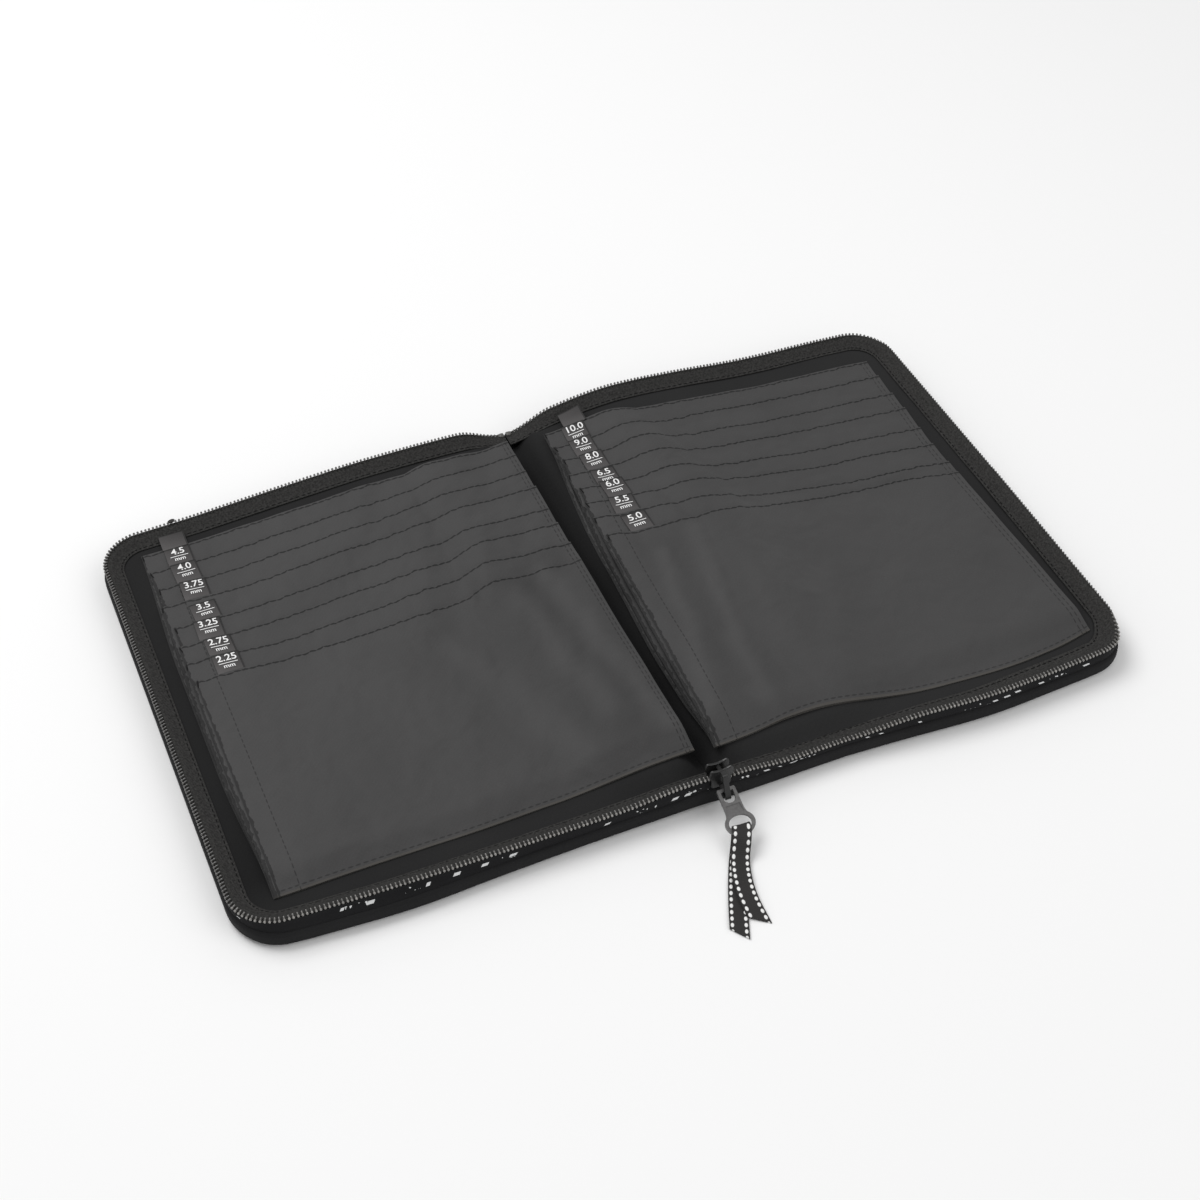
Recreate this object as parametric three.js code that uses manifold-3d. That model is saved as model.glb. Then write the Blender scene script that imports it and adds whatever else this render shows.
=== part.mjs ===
// A zip-around case for circular knitting needles, lying open like a book.
// Millimetres, +X to the right, +Y to the back, +Z up. The origin is on the table, under the
// middle of the spine. Each cover is described by u, the distance out from its fold line, by y,
// and by inset, the distance in from its outline.

import * as THREE from 'three';
import { mergeVertices } from 'three/addons/utils/BufferGeometryUtils.js';
import Module from 'manifold-3d';

const wasm = await Module();
wasm.setup();

// Plan of the open case
const coverWidth = 157; // fold line to outer edge
const coverDepth = 192; // front to back, along the outer edge
const depthBow = 3.5; // how far each long edge bows out at the spine
const cornerRadius = 17;
const foldSpacing = 16; // between the two fold lines
const spineWidth = 12;
const spineGap = 0.5; // between the spine and each cover
const seatGap = 0.3; // between pieces that lie on each other

// Padded cover: a fabric tray that holds a board under the lining
const panelHeight = 6.5;
const panelFloor = 1;
const panelRim = 2.5;
const panelRound = 2.2; // rounding of the padded edge
const boardThickness = 5.2;
const liningThickness = 0.6;

// Zipper: gusset strip, woven tape and the coil of teeth along its edge
const gussetThickness = 0.8;
const gussetHeight = 2.8;
const gussetInset = 0.6;
const tapeThickness = 0.5;
const tapeWidth = 3.6;
const coilWidth = 2.6;
const coilHeight = 2.2;
const coilInset = 0.6;
const toothPitch = 2;
const toothDepth = 0.9; // from the crown of a tooth to the gap beside it
const chainOverhang = 2; // how far the tape and teeth reach past the fold line
const stopLength = 2.2;

// Pockets, each one step shorter than the one behind it
const pocketCount = 8;
const pocketFront = 10.4; // from the outline to the pockets' front edge
const clothThickness = 0.25;
const hemDepth = 5;
const hemThickness = 0.5;
const labelWidth = 10;
const labelHeight = 9;
const labelThickness = 0.3;

// Arch, pockets and labels of the left cover
const leftArchHeight = 4;
const leftArchPeak = 17; // from the fold line to the highest place
const leftArchInner = 35;
const leftArchOuter = 75;
const leftPocketStart = -4.5; // the pockets reach past the fold line, over the spine
const leftPocketRimMargin = 15.5;
const leftPocketStep = 10.2;
const leftHemMargin = 14.5; // from the back of the outline to the first hem
const leftLabelStart = 122;

// Arch, pockets and labels of the right cover
const rightArchHeight = 5.5;
const rightArchPeak = 37;
const rightArchInner = 45;
const rightArchOuter = 62;
const rightPocketStart = 0;
const rightPocketRimMargin = 11;
const rightPocketStep = 9.6;
const rightHemMargin = 14;
const rightLabelStart = 11;

const covers = [
  {
    name: 'left',
    sign: -1,
    archHeight: leftArchHeight,
    archPeak: leftArchPeak,
    archInner: leftArchInner,
    archOuter: leftArchOuter,
    pocketStart: leftPocketStart,
    pocketRimMargin: leftPocketRimMargin,
    pocketStep: leftPocketStep,
    hemMargin: leftHemMargin,
    labelStart: leftLabelStart,
  },
  {
    name: 'right',
    sign: 1,
    archHeight: rightArchHeight,
    archPeak: rightArchPeak,
    archInner: rightArchInner,
    archOuter: rightArchOuter,
    pocketStart: rightPocketStart,
    pocketRimMargin: rightPocketRimMargin,
    pocketStep: rightPocketStep,
    hemMargin: rightHemMargin,
    labelStart: rightLabelStart,
  },
];
const archStep = 8; // length of one facet of an arch

// Spine
const spineThickness = 1.2;
const spineBandThickness = 0.8;
const spineFrontBand = 8.4;
const spineBackBand = 6.5;
const spineLiningMargin = 6;
const spineLiningSide = 0.4;

// Slider, with its mouth up, and the closed end of the chain that it sits on
const sliderBase = 9.2;
const sliderLength = 8.5;
const sliderMouthWidth = 9;
const sliderRearWidth = 7.2;
const sliderPlate = 0.9;
const sliderBevel = 0.2;
const channelGap = 0.35; // between the chain and the slider's plates
const flangeWidth = 0.5;
const flangeLength = 4;
const postWidth = 1.4;
const postLength = 3;
const chainEndLength = 9;
const chainEndThickness = 1.8;
const chainEndHold = 3.8; // length of the chain end inside the slider
const bottomStopHeight = 2;

// Bail on the outer plate, and the pull tab that hangs in it
const bailLength = 9;
const bailHeight = 5.6; // at its foot, from the slider's plate
const bailTopHeight = 2.4;
const bailThickness = 0.8;
const bailWidth = 1.9;
const bailDrop = 0.9; // how far the bail hangs below the slider's rear end
const bailLegRise = 1.3; // from the bail's foot up to where its lower leg meets the plate
const pivotShare = 0.58; // where the tab's bar hangs, from the plate to the bail's strap
const tabThickness = 1.1;
const tabBar = 1; // bar that runs through the bail
const tabWidth = 6.6;
const tabHoleLength = 4.4;
const tabHoleWidth = 4.4;
const tabWaist = 6.6; // from the bar to where the tab starts to flare
const ringHalfWidth = 5.25;
const ringHalfLength = 4.3;
const ringBar = 1.2; // beside the hole
const ringFoot = 1.4; // the bar that the ribbon goes round
const panelRecess = 0.25;
const panelLength = 3;
const panelFlare = 0.4; // how much the sunk panel widens towards the ring
const tabBorder = 0.8;
const tabDroop = THREE.MathUtils.degToRad(20);

// Ribbon drawn through the ring, lying on the table
const ribbonWidth = 6.3;
const ribbonThickness = 0.5;
const ribbonSteps = 44;
const tailLength = 31.8; // of the lower tail, from the ring to its end
const upperTailCut = 2.2; // how much shorter the upper tail is
const upperTailAside = -9.2; // how far each tail drifts sideways
const lowerTailAside = -17.4;
const upperTail = { length: tailLength - upperTailCut, aside: upperTailAside };
const lowerTail = { length: tailLength, aside: lowerTailAside };

// Heights that follow from the sizes above
const boardBase = panelFloor + seatGap;
const liningBase = boardBase + boardThickness + seatGap;
const liningTop = liningBase + liningThickness;
const gussetBase = panelHeight + seatGap;
const coilBase = gussetBase + gussetHeight + seatGap;
const coilTop = coilBase + coilHeight;
const coilInner = coilInset + coilWidth;
const coilCentre = coilInset + coilWidth / 2;
const tapeOuter = coilInner + seatGap;
const tapeInner = tapeOuter + tapeWidth;
const pocketBase = liningTop + seatGap;
const layerStep = clothThickness + seatGap;
const foldLine = foldSpacing / 2;
const coverStart = spineWidth / 2 + spineGap - foldLine;

const cloth = (colour) => new THREE.MeshStandardMaterial({ color: colour, roughness: 0.9 });
const metal = (colour) =>
  new THREE.MeshStandardMaterial({ color: colour, roughness: 0.35, metalness: 0.9 });

const group = new THREE.Group();

function addMesh(name, geometry, material, parent = group) {
  const mesh = new THREE.Mesh(geometry, material);
  mesh.name = name;
  parent.add(mesh);
  return mesh;
}

// Manifold solids for joining and cutting
function toSolid(geometry) {
  const bare = geometry.clone();
  bare.deleteAttribute('normal');
  bare.deleteAttribute('uv');
  const merged = mergeVertices(bare);
  const triangles = [];
  for (let i = 0; i < merged.index.count; i += 3) {
    const corners = [0, 1, 2].map((k) => merged.index.getX(i + k));
    if (new Set(corners).size === 3) triangles.push(...corners);
  }
  return new wasm.Manifold(
    new wasm.Mesh({
      numProp: 3,
      vertProperties: new Float32Array(merged.attributes.position.array),
      triVerts: new Uint32Array(triangles),
    }),
  );
}

function toGeometry(solid) {
  const mesh = solid.getMesh();
  const geometry = new THREE.BufferGeometry();
  geometry.setAttribute('position', new THREE.BufferAttribute(mesh.vertProperties, 3));
  geometry.setIndex(new THREE.BufferAttribute(mesh.triVerts, 1));
  geometry.computeVertexNormals();
  return geometry;
}

// Lofts: rings of equally many points, joined in order and closed at both ends round a middle
// that sees the whole ring
function middleOf(ring) {
  const sum = new THREE.Vector3();
  ring.forEach((point) => sum.add(point));
  return sum.divideScalar(ring.length);
}

function enclosedVolume(points, triangles) {
  let volume = 0;
  for (let i = 0; i < triangles.length; i += 3) {
    const [a, b, c] = [0, 1, 2].map((k) => points[triangles[i + k]]);
    volume += a.dot(b.clone().cross(c)) / 6;
  }
  return volume;
}

function loft(rings, middle = middleOf) {
  const around = rings[0].length;
  const lastRing = (rings.length - 1) * around;
  const points = rings.flat();
  const startMiddle = points.length;
  points.push(middle(rings[0]), middle(rings[rings.length - 1]));
  const triangles = [];
  for (let j = 0; j < around; j += 1) {
    const next = (j + 1) % around;
    for (let base = 0; base < lastRing; base += around) {
      const far = base + around;
      triangles.push(base + j, base + next, far + next, base + j, far + next, far + j);
    }
    triangles.push(startMiddle, next, j);
    triangles.push(startMiddle + 1, lastRing + j, lastRing + next);
  }
  if (enclosedVolume(points, triangles) < 0) triangles.reverse();
  const geometry = new THREE.BufferGeometry().setFromPoints(points);
  geometry.setIndex(triangles);
  geometry.computeVertexNormals();
  return geometry;
}

// Outline of a cover: half its depth at u, for an outline drawn in by inset
function halfDepth(u, inset) {
  const cornerStart = coverWidth - cornerRadius;
  const bow = depthBow * (1 - (Math.min(u, cornerStart) / coverWidth) ** 2);
  const half = coverDepth / 2 + bow - inset;
  if (u <= cornerStart) return half;
  const radius = cornerRadius - inset;
  const run = Math.min(u - cornerStart, radius);
  return half - radius + Math.sqrt(radius ** 2 - run ** 2);
}

// Arch of a cover at u, in flat facets that every layer shares
function roundArch(cover, u) {
  const away = u - cover.archPeak;
  const reach = away < 0 ? cover.archInner : cover.archOuter;
  if (Math.abs(away) >= reach) return 0;
  return (cover.archHeight * (1 + Math.cos((Math.PI * away) / reach))) / 2;
}

function archAt(cover, u) {
  const low = Math.floor(u / archStep) * archStep;
  const share = (u - low) / archStep;
  return (1 - share) * roundArch(cover, low) + share * roundArch(cover, low + archStep);
}

function onCover(cover, u, y, z) {
  return new THREE.Vector3(cover.sign * (foldLine + u), y, z + archAt(cover, u));
}

// Places along u where a layer changes direction: its ends, the arch's facets and the corners
function stationsBetween(cover, start, end) {
  const archEnd = cover.archPeak + cover.archOuter + archStep;
  const places = [start, end];
  for (let u = Math.ceil(start / archStep) * archStep; u < Math.min(end, archEnd); u += archStep) {
    places.push(u);
  }
  return places;
}

function cornerStations(inset, steps) {
  const radius = cornerRadius - inset;
  const angles = Array.from({ length: steps }, (_, k) => (k * Math.PI) / 2 / steps);
  return angles.map((angle) => coverWidth - cornerRadius + radius * Math.sin(angle));
}

function inOrder(places) {
  return [...new Set(places)].sort((a, b) => a - b);
}

// A layer of a cover with the cover's own outline, drawn in by inset
function coverLayer(cover, start, inset, base, top) {
  const end = coverWidth - inset;
  const places = [...stationsBetween(cover, start, end), ...cornerStations(inset, 5)];
  const rings = inOrder(places).map((u) => {
    const half = halfDepth(u, inset);
    const corners = [[-half, base], [half, base], [half, top], [-half, top]];
    return corners.map(([y, z]) => onCover(cover, u, y, z));
  });
  return loft(rings);
}

// Padded body of a cover, with a rounded edge on its three free sides
function paddedBody(cover) {
  const quarter = [0, 30, 60, 90].map((degrees) => THREE.MathUtils.degToRad(degrees));
  const insets = quarter.map((angle) => panelRound * (1 - Math.sin(angle)));
  const rise = (inset) => panelRound - Math.sqrt(panelRound ** 2 - (panelRound - inset) ** 2);
  const places = [
    ...stationsBetween(cover, coverStart, coverWidth),
    ...cornerStations(0, 6),
    ...insets.map((inset) => coverWidth - inset),
  ];
  const rings = inOrder(places).map((u) => {
    const kept = insets.map((inset) => Math.min(inset, coverWidth - u));
    const lower = kept.map((inset) => [halfDepth(u, inset), rise(inset)]);
    const upper = lower.map(([y, z]) => [y, panelHeight - z]).reverse();
    const side = [...lower, ...upper];
    const other = side.map(([y, z]) => [-y, z]).reverse();
    return [...side, ...other].map(([y, z]) => onCover(cover, u, y, z));
  });
  return loft(rings);
}

function outerPanel(cover) {
  const hollow = coverLayer(
    cover,
    coverStart + panelFloor,
    panelRim,
    panelFloor,
    panelHeight + panelFloor,
  );
  return toGeometry(toSolid(paddedBody(cover)).subtract(toSolid(hollow)));
}

// The zipper's line: along the front edge, round the outer edge and back along the back edge
function rimLength(inset) {
  const cornerStart = coverWidth - cornerRadius;
  const front = cornerStart + chainOverhang;
  const corner = ((cornerRadius - inset) * Math.PI) / 2;
  const side = 2 * (halfDepth(cornerStart, 0) - cornerRadius);
  return { front, corner, side, total: 2 * (front + corner) + side };
}

function rimPlace(inset, distance) {
  const { front, corner, side, total } = rimLength(inset);
  const mirrored = distance > total / 2;
  const along = mirrored ? total - distance : distance;
  const facing = mirrored ? 1 : -1;
  const cornerStart = coverWidth - cornerRadius;
  const cornerY = halfDepth(cornerStart, 0) - cornerRadius;
  if (along < front) {
    const u = along - chainOverhang;
    return { u, y: facing * halfDepth(u, 0), outU: 0, outY: facing };
  }
  const angle = Math.min((along - front) / corner, 1) * (Math.PI / 2);
  const outU = Math.sin(angle);
  const outY = facing * Math.cos(angle);
  const past = Math.max(along - front - corner, 0);
  return {
    u: cornerStart + cornerRadius * outU,
    y: facing * (cornerY - past) + cornerRadius * outY,
    outU,
    outY,
  };
}

function rimRing(cover, place, section) {
  return section.map(([inset, z]) =>
    onCover(cover, place.u - place.outU * inset, place.y - place.outY * inset, z),
  );
}

// A strip with one section all along the zipper's line
function rimStrip(cover, section) {
  const { front, corner, total } = rimLength(coilCentre);
  const straights = stationsBetween(cover, -chainOverhang, front - chainOverhang);
  const distances = straights.map((u) => u + chainOverhang);
  for (let k = 1; k <= 6; k += 1) distances.push(front + (corner * k) / 6);
  const mirrored = distances.map((distance) => total - distance);
  const rings = inOrder([...distances, ...mirrored]).map((distance) =>
    rimRing(cover, rimPlace(coilCentre, distance), section),
  );
  return loft(rings);
}

function gusset(cover) {
  const top = gussetBase + gussetHeight;
  const inner = gussetInset + gussetThickness;
  return rimStrip(cover, [
    [gussetInset, gussetBase],
    [inner, gussetBase],
    [inner, top],
    [gussetInset, top],
  ]);
}

function zipperTape(cover) {
  const low = liningTop + seatGap;
  const high = coilBase + seatGap;
  return rimStrip(cover, [
    [tapeInner, low],
    [tapeInner, low + tapeThickness],
    [tapeOuter, high + tapeThickness],
    [tapeOuter, high],
  ]);
}

// Teeth of the coil: every other ring stands out and up, which leaves a gap between two crowns
function zipperCoil(cover) {
  const { total } = rimLength(coilCentre);
  const halfTeeth = 2 * Math.round(total / toothPitch);
  const rings = [];
  for (let k = 0; k <= halfTeeth; k += 1) {
    const drawn = k % 2 === 0 ? toothDepth : 0;
    const place = rimPlace(coilCentre, (total * k) / halfTeeth);
    const section = [
      [coilInner, coilBase],
      [coilInset + drawn, coilBase],
      [coilCentre, coilTop - drawn],
    ];
    rings.push(rimRing(cover, place, section));
  }
  return loft(rings);
}

function topStop(cover) {
  const far = -chainOverhang - seatGap;
  const rings = [far - stopLength, far].map((u) => {
    const outer = halfDepth(u, coilInset);
    const inner = halfDepth(u, coilInner);
    const corners = [[inner, coilBase], [outer, coilBase], [outer, coilTop], [inner, coilTop]];
    return corners.map(([y, z]) => onCover(cover, u, y, z));
  });
  return loft(rings);
}

// Pockets and their labels
function hemLine(cover, index) {
  return coverDepth / 2 - cover.hemMargin - index * cover.pocketStep;
}

function pocket(cover, index) {
  const front = pocketFront - coverDepth / 2;
  const hem = hemLine(cover, index);
  const base = pocketBase + index * layerStep;
  const section = [
    [front, base],
    [hem, base],
    [hem, base + hemThickness],
    [hem - hemDepth, base + hemThickness],
    [hem - hemDepth, base + clothThickness],
    [front, base + clothThickness],
  ];
  const places = stationsBetween(cover, cover.pocketStart, coverWidth - cover.pocketRimMargin);
  const rings = inOrder(places).map((u) => section.map(([y, z]) => onCover(cover, u, y, z)));
  return loft(rings, (ring) => ring[1].clone().lerp(ring[4], 0.5));
}

// A label stands behind its pocket's hem, on the hem of the pocket below
function label(cover, index) {
  const end = cover.labelStart + labelWidth;
  const near = hemLine(cover, index) + seatGap;
  const onLining = halfDepth(end, tapeInner) - seatGap - near;
  const room = index === 0 ? onLining : cover.pocketStep - 2 * seatGap;
  const far = near + Math.min(labelHeight, room);
  const onHem = pocketBase + (index - 1) * layerStep + hemThickness + seatGap;
  const base = index === 0 ? pocketBase : onHem;
  const top = base + labelThickness;
  const corners = [[near, base], [far, base], [far, top], [near, top]];
  const places = inOrder(stationsBetween(cover, cover.labelStart, end));
  return loft(places.map((u) => corners.map(([y, z]) => onCover(cover, u, y, z))));
}

// Sections drawn in y and z, and plates drawn in x and z
function alongX(shape, width) {
  const geometry = new THREE.ExtrudeGeometry(shape, {
    depth: width,
    bevelEnabled: false,
    curveSegments: 4,
  });
  const basis = new THREE.Matrix4().makeBasis(
    new THREE.Vector3(0, 1, 0),
    new THREE.Vector3(0, 0, 1),
    new THREE.Vector3(1, 0, 0),
  );
  return geometry.applyMatrix4(basis).translate(-width / 2, 0, 0);
}

function plateAt(shape, backFace, thickness, bevel) {
  const geometry = new THREE.ExtrudeGeometry(shape, {
    depth: thickness - 2 * bevel,
    bevelEnabled: bevel > 0,
    bevelThickness: bevel,
    bevelSize: bevel,
    bevelOffset: -bevel,
    bevelSegments: 1,
    curveSegments: 5,
  });
  return geometry.translate(0, 0, bevel).rotateX(Math.PI / 2).translate(0, backFace, 0);
}

function polygon(points) {
  return new THREE.Shape(points.map(([x, y]) => new THREE.Vector2(x, y)));
}

function rectangle(left, bottom, right, top) {
  return polygon([[left, bottom], [right, bottom], [right, top], [left, top]]);
}

// Spine: the floor with a turned-up band at each end
const spineHalf = halfDepth(0, 0);

function spineOuter() {
  const inner = spineHalf - spineBandThickness;
  const profile = polygon([
    [-spineHalf, 0],
    [spineHalf, 0],
    [spineHalf, spineBackBand],
    [inner, spineBackBand],
    [inner, spineThickness],
    [-inner, spineThickness],
    [-inner, spineFrontBand],
    [-spineHalf, spineFrontBand],
  ]);
  return alongX(profile, spineWidth);
}

function spineLining() {
  const half = spineHalf - spineLiningMargin;
  const base = spineThickness + seatGap;
  const profile = rectangle(-half, base, half, base + liningThickness);
  return alongX(profile, spineWidth - 2 * spineLiningSide);
}

// Closed end of the chain, with teeth along both sides, and the stop under it
const chainY = -halfDepth(0, coilCentre);
const chainTop = sliderBase + chainEndHold;
const chainBase = chainTop - chainEndLength;

function chainEnd() {
  const halfTeeth = 2 * Math.round(chainEndLength / toothPitch);
  const side = [];
  for (let k = 0; k <= halfTeeth; k += 1) {
    const drawn = k % 2 === 0 ? toothDepth / 2 : 0;
    side.push([coilWidth - drawn, chainBase + (chainEndLength * k) / halfTeeth]);
  }
  const other = side.map(([x, z]) => [-x, z]).reverse();
  return plateAt(
    polygon([...side, ...other]),
    chainY + chainEndThickness / 2,
    chainEndThickness,
    0,
  );
}

function bottomStop() {
  const top = chainBase - seatGap;
  const shape = rectangle(-coilWidth, top - bottomStopHeight, coilWidth, top);
  return plateAt(shape, chainY + chainEndThickness / 2, chainEndThickness, 0);
}

// Slider: two plates joined by a post between the rows of teeth, with rails that hold the tape
const channelHalf = chainEndThickness / 2 + channelGap;
const outerFace = chainY - channelHalf - sliderPlate;

function sliderOutline() {
  const rear = sliderRearWidth / 2;
  const mouth = sliderMouthWidth / 2;
  const low = sliderBase;
  const high = sliderBase + sliderLength;
  const round = sliderRearWidth / 6;
  const shape = new THREE.Shape();
  shape.moveTo(round - rear, low);
  shape.lineTo(rear - round, low);
  shape.quadraticCurveTo(rear, low, rear, low + round);
  shape.lineTo(rear, low + flangeLength);
  shape.quadraticCurveTo(mouth, low + flangeLength + round, mouth, high - 2 * round);
  shape.quadraticCurveTo(mouth, high, mouth - round, high);
  shape.quadraticCurveTo(0, high - round, round - mouth, high);
  shape.quadraticCurveTo(-mouth, high, -mouth, high - 2 * round);
  shape.quadraticCurveTo(-mouth, low + flangeLength + round, -rear, low + flangeLength);
  shape.lineTo(-rear, low + round);
  shape.quadraticCurveTo(-rear, low, round - rear, low);
  return shape;
}

function sliderBody() {
  const outline = sliderOutline();
  const sunk = sliderPlate / 3;
  const wedgeTop = sliderBase + sliderLength - sliderPlate;
  const wedge = polygon([
    [0, wedgeTop - postLength],
    [postWidth / 2, wedgeTop - postWidth / 2],
    [0, wedgeTop],
    [-postWidth / 2, wedgeTop - postWidth / 2],
  ]);
  const pieces = [
    plateAt(outline, chainY - channelHalf, sliderPlate, sliderBevel),
    plateAt(outline, chainY + channelHalf + sliderPlate, sliderPlate, sliderBevel),
    plateAt(wedge, chainY + channelHalf + sunk, 2 * (channelHalf + sunk), 0),
  ];
  const railDepth = channelHalf - tapeThickness / 2 - channelGap;
  const railOut = sliderRearWidth / 2 - sliderBevel;
  [-1, 1].forEach((side) => {
    const near = side * (railOut - flangeWidth);
    const rail = rectangle(
      Math.min(near, side * railOut),
      sliderBase + sliderPlate,
      Math.max(near, side * railOut),
      sliderBase + flangeLength,
    );
    const depth = railDepth + sunk;
    pieces.push(plateAt(rail, chainY - channelHalf + railDepth, depth, 0));
    pieces.push(plateAt(rail, chainY + channelHalf + sunk, depth, 0));
  });
  return toGeometry(wasm.Manifold.union(pieces.map(toSolid)));
}

const bailInside = bailHeight - bailThickness;

function sliderBail() {
  const face = outerFace - seatGap;
  const base = sliderBase - bailDrop;
  const bend = bailThickness * 1.3;
  const at = (out, up) => [face - out, base + up];
  const shape = new THREE.Shape();
  shape.moveTo(...at(0, bailLegRise));
  shape.lineTo(...at(bailHeight - bend, 0));
  shape.quadraticCurveTo(...at(bailHeight, 0), ...at(bailHeight, bend));
  shape.lineTo(...at(bailTopHeight, bailLength - bend));
  shape.quadraticCurveTo(...at(bailTopHeight, bailLength), ...at(bailTopHeight - bend, bailLength));
  shape.lineTo(...at(0, bailLength));
  shape.lineTo(...at(0, bailLength - bailThickness));
  shape.lineTo(...at(bailTopHeight - bailThickness, bailLength - bailThickness));
  shape.lineTo(...at(bailInside, bailThickness));
  shape.lineTo(...at(0, bailLegRise + bailThickness));
  return alongX(shape, bailWidth);
}

// Pull tab, drawn from its bar at the pivot outwards: a hole for the bail, a sunk panel and a ring
const pivotOut = bailInside * pivotShare;
const legSlope = bailLegRise / bailInside;
const legTop = sliderBase - bailDrop + bailThickness + bailLegRise - pivotOut * legSlope;
const barReach = Math.hypot(tabThickness, tabBar) / 2 + seatGap;
const tabPivot = new THREE.Vector3(
  0,
  outerFace - seatGap - pivotOut,
  legTop + barReach * Math.hypot(1, legSlope),
);
const tabHoleEnd = tabBar / 2 + tabHoleLength;
const panelStart = tabHoleEnd + tabBorder;
const ringHoleLength = ringHalfLength - ringFoot;
const ringHoleWidth = ringHalfWidth - ringBar;
const ringCentre = panelStart + panelLength + tabBorder + ringHoleLength;

function tabOutline() {
  const half = tabWidth / 2;
  const round = tabBar / 2;
  const join = THREE.MathUtils.degToRad(35);
  const joinX = ringHalfWidth * Math.cos(join);
  const joinY = ringHalfLength * Math.sin(join) - ringCentre;
  const shape = new THREE.Shape();
  shape.moveTo(round - half, round);
  shape.lineTo(half - round, round);
  shape.quadraticCurveTo(half, round, half, -round);
  shape.lineTo(half, -tabWaist);
  shape.quadraticCurveTo(half, joinY + round, joinX, joinY);
  shape.absellipse(0, -ringCentre, ringHalfWidth, ringHalfLength, join, -Math.PI - join, true, 0);
  shape.quadraticCurveTo(-half, joinY + round, -half, -tabWaist);
  shape.lineTo(-half, -round);
  shape.quadraticCurveTo(-half, round, round - half, round);
  const holeHalf = tabHoleWidth / 2;
  const bailHole = new THREE.Path();
  bailHole.moveTo(-holeHalf, -round);
  bailHole.lineTo(-holeHalf, holeHalf - tabHoleEnd);
  bailHole.absarc(0, holeHalf - tabHoleEnd, holeHalf, Math.PI, 2 * Math.PI, false);
  bailHole.lineTo(holeHalf, -round);
  const ringHole = new THREE.Path();
  ringHole.absellipse(0, -ringCentre, ringHoleWidth, ringHoleLength, 0, 2 * Math.PI, false, 0);
  shape.holes.push(bailHole, ringHole);
  return shape;
}

function pullTab() {
  const plate = new THREE.ExtrudeGeometry(tabOutline(), {
    depth: tabThickness,
    bevelEnabled: false,
    curveSegments: 14,
  });
  plate.translate(0, 0, -tabThickness / 2);
  const half = tabWidth / 2 - tabBorder;
  const wide = half + panelFlare;
  const panelEnd = panelStart + panelLength;
  const panel = polygon([[-wide, -panelEnd], [wide, -panelEnd], [half, -panelStart], [-half, -panelStart]]);
  const sunk = [-1, 1].map((side) => {
    const cut = new THREE.ExtrudeGeometry(panel, { depth: tabThickness, bevelEnabled: false });
    const offset = side * (tabThickness - panelRecess);
    return toSolid(cut.translate(0, 0, offset - tabThickness / 2));
  });
  return toGeometry(toSolid(plate).subtract(wasm.Manifold.union(sunk)));
}

// Ribbon: the lower tail comes off the table, goes under the ring's foot, up through the ring,
// back over the foot and down onto the table as the upper tail
function ribbonRoute() {
  const outward = new THREE.Vector3(0, -Math.cos(tabDroop), -Math.sin(tabDroop));
  const upward = new THREE.Vector3(0, -Math.sin(tabDroop), Math.cos(tabDroop));
  const onTab = (along, above) =>
    tabPivot.clone().addScaledVector(outward, along).addScaledVector(upward, above);
  const clear = tabThickness / 2 + ribbonThickness / 2 + 1.3 * seatGap;
  const turn = ringCentre + ringHoleLength * 0.6;
  const past = ringCentre + ringHalfLength + ribbonThickness;
  const floor = ribbonThickness / 2 + seatGap;
  const start = onTab(past, -clear);
  const onTable = (tail, share, height) =>
    new THREE.Vector3(tail.aside * share, start.y - tail.length * share, floor + height);
  return new THREE.CatmullRomCurve3([
    onTable(lowerTail, 1, 0),
    onTable(lowerTail, 0.72, 0),
    onTable(lowerTail, 0.45, 0),
    onTable(lowerTail, 0.2, 0),
    start,
    onTab(turn, -clear),
    onTab(turn - clear * 0.7, -clear * 0.7),
    onTab(turn - clear, 0),
    onTab(turn - clear * 0.7, clear * 0.7),
    onTab(turn, clear),
    onTab(past, clear),
    onTable(upperTail, 0.2, 2 * ribbonThickness),
    onTable(upperTail, 0.45, 2 * ribbonThickness),
    onTable(upperTail, 0.72, 1.8 * ribbonThickness),
    onTable(upperTail, 1, 0),
  ]);
}

function pullRibbon() {
  const route = ribbonRoute();
  const rings = [];
  for (let k = 0; k <= ribbonSteps; k += 1) {
    const middle = route.getPointAt(k / ribbonSteps);
    const heading = route.getTangentAt(k / ribbonSteps);
    const flatHeading = Math.hypot(heading.x, heading.y);
    const lean = k / ribbonSteps < 0.5 ? -1 : 1;
    const across = new THREE.Vector3(1, 0, 0);
    if (flatHeading > 0.5) across.set(lean * heading.y, -lean * heading.x, 0).normalize();
    if (across.x < 0) across.negate();
    const normal = heading.clone().cross(across).normalize();
    const corners = [[-1, -1], [1, -1], [1, 1], [-1, 1]];
    rings.push(
      corners.map(([side, face]) =>
        middle
          .clone()
          .addScaledVector(across, (side * ribbonWidth) / 2)
          .addScaledVector(normal, (face * ribbonThickness) / 2),
      ),
    );
  }
  return loft(rings);
}

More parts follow.
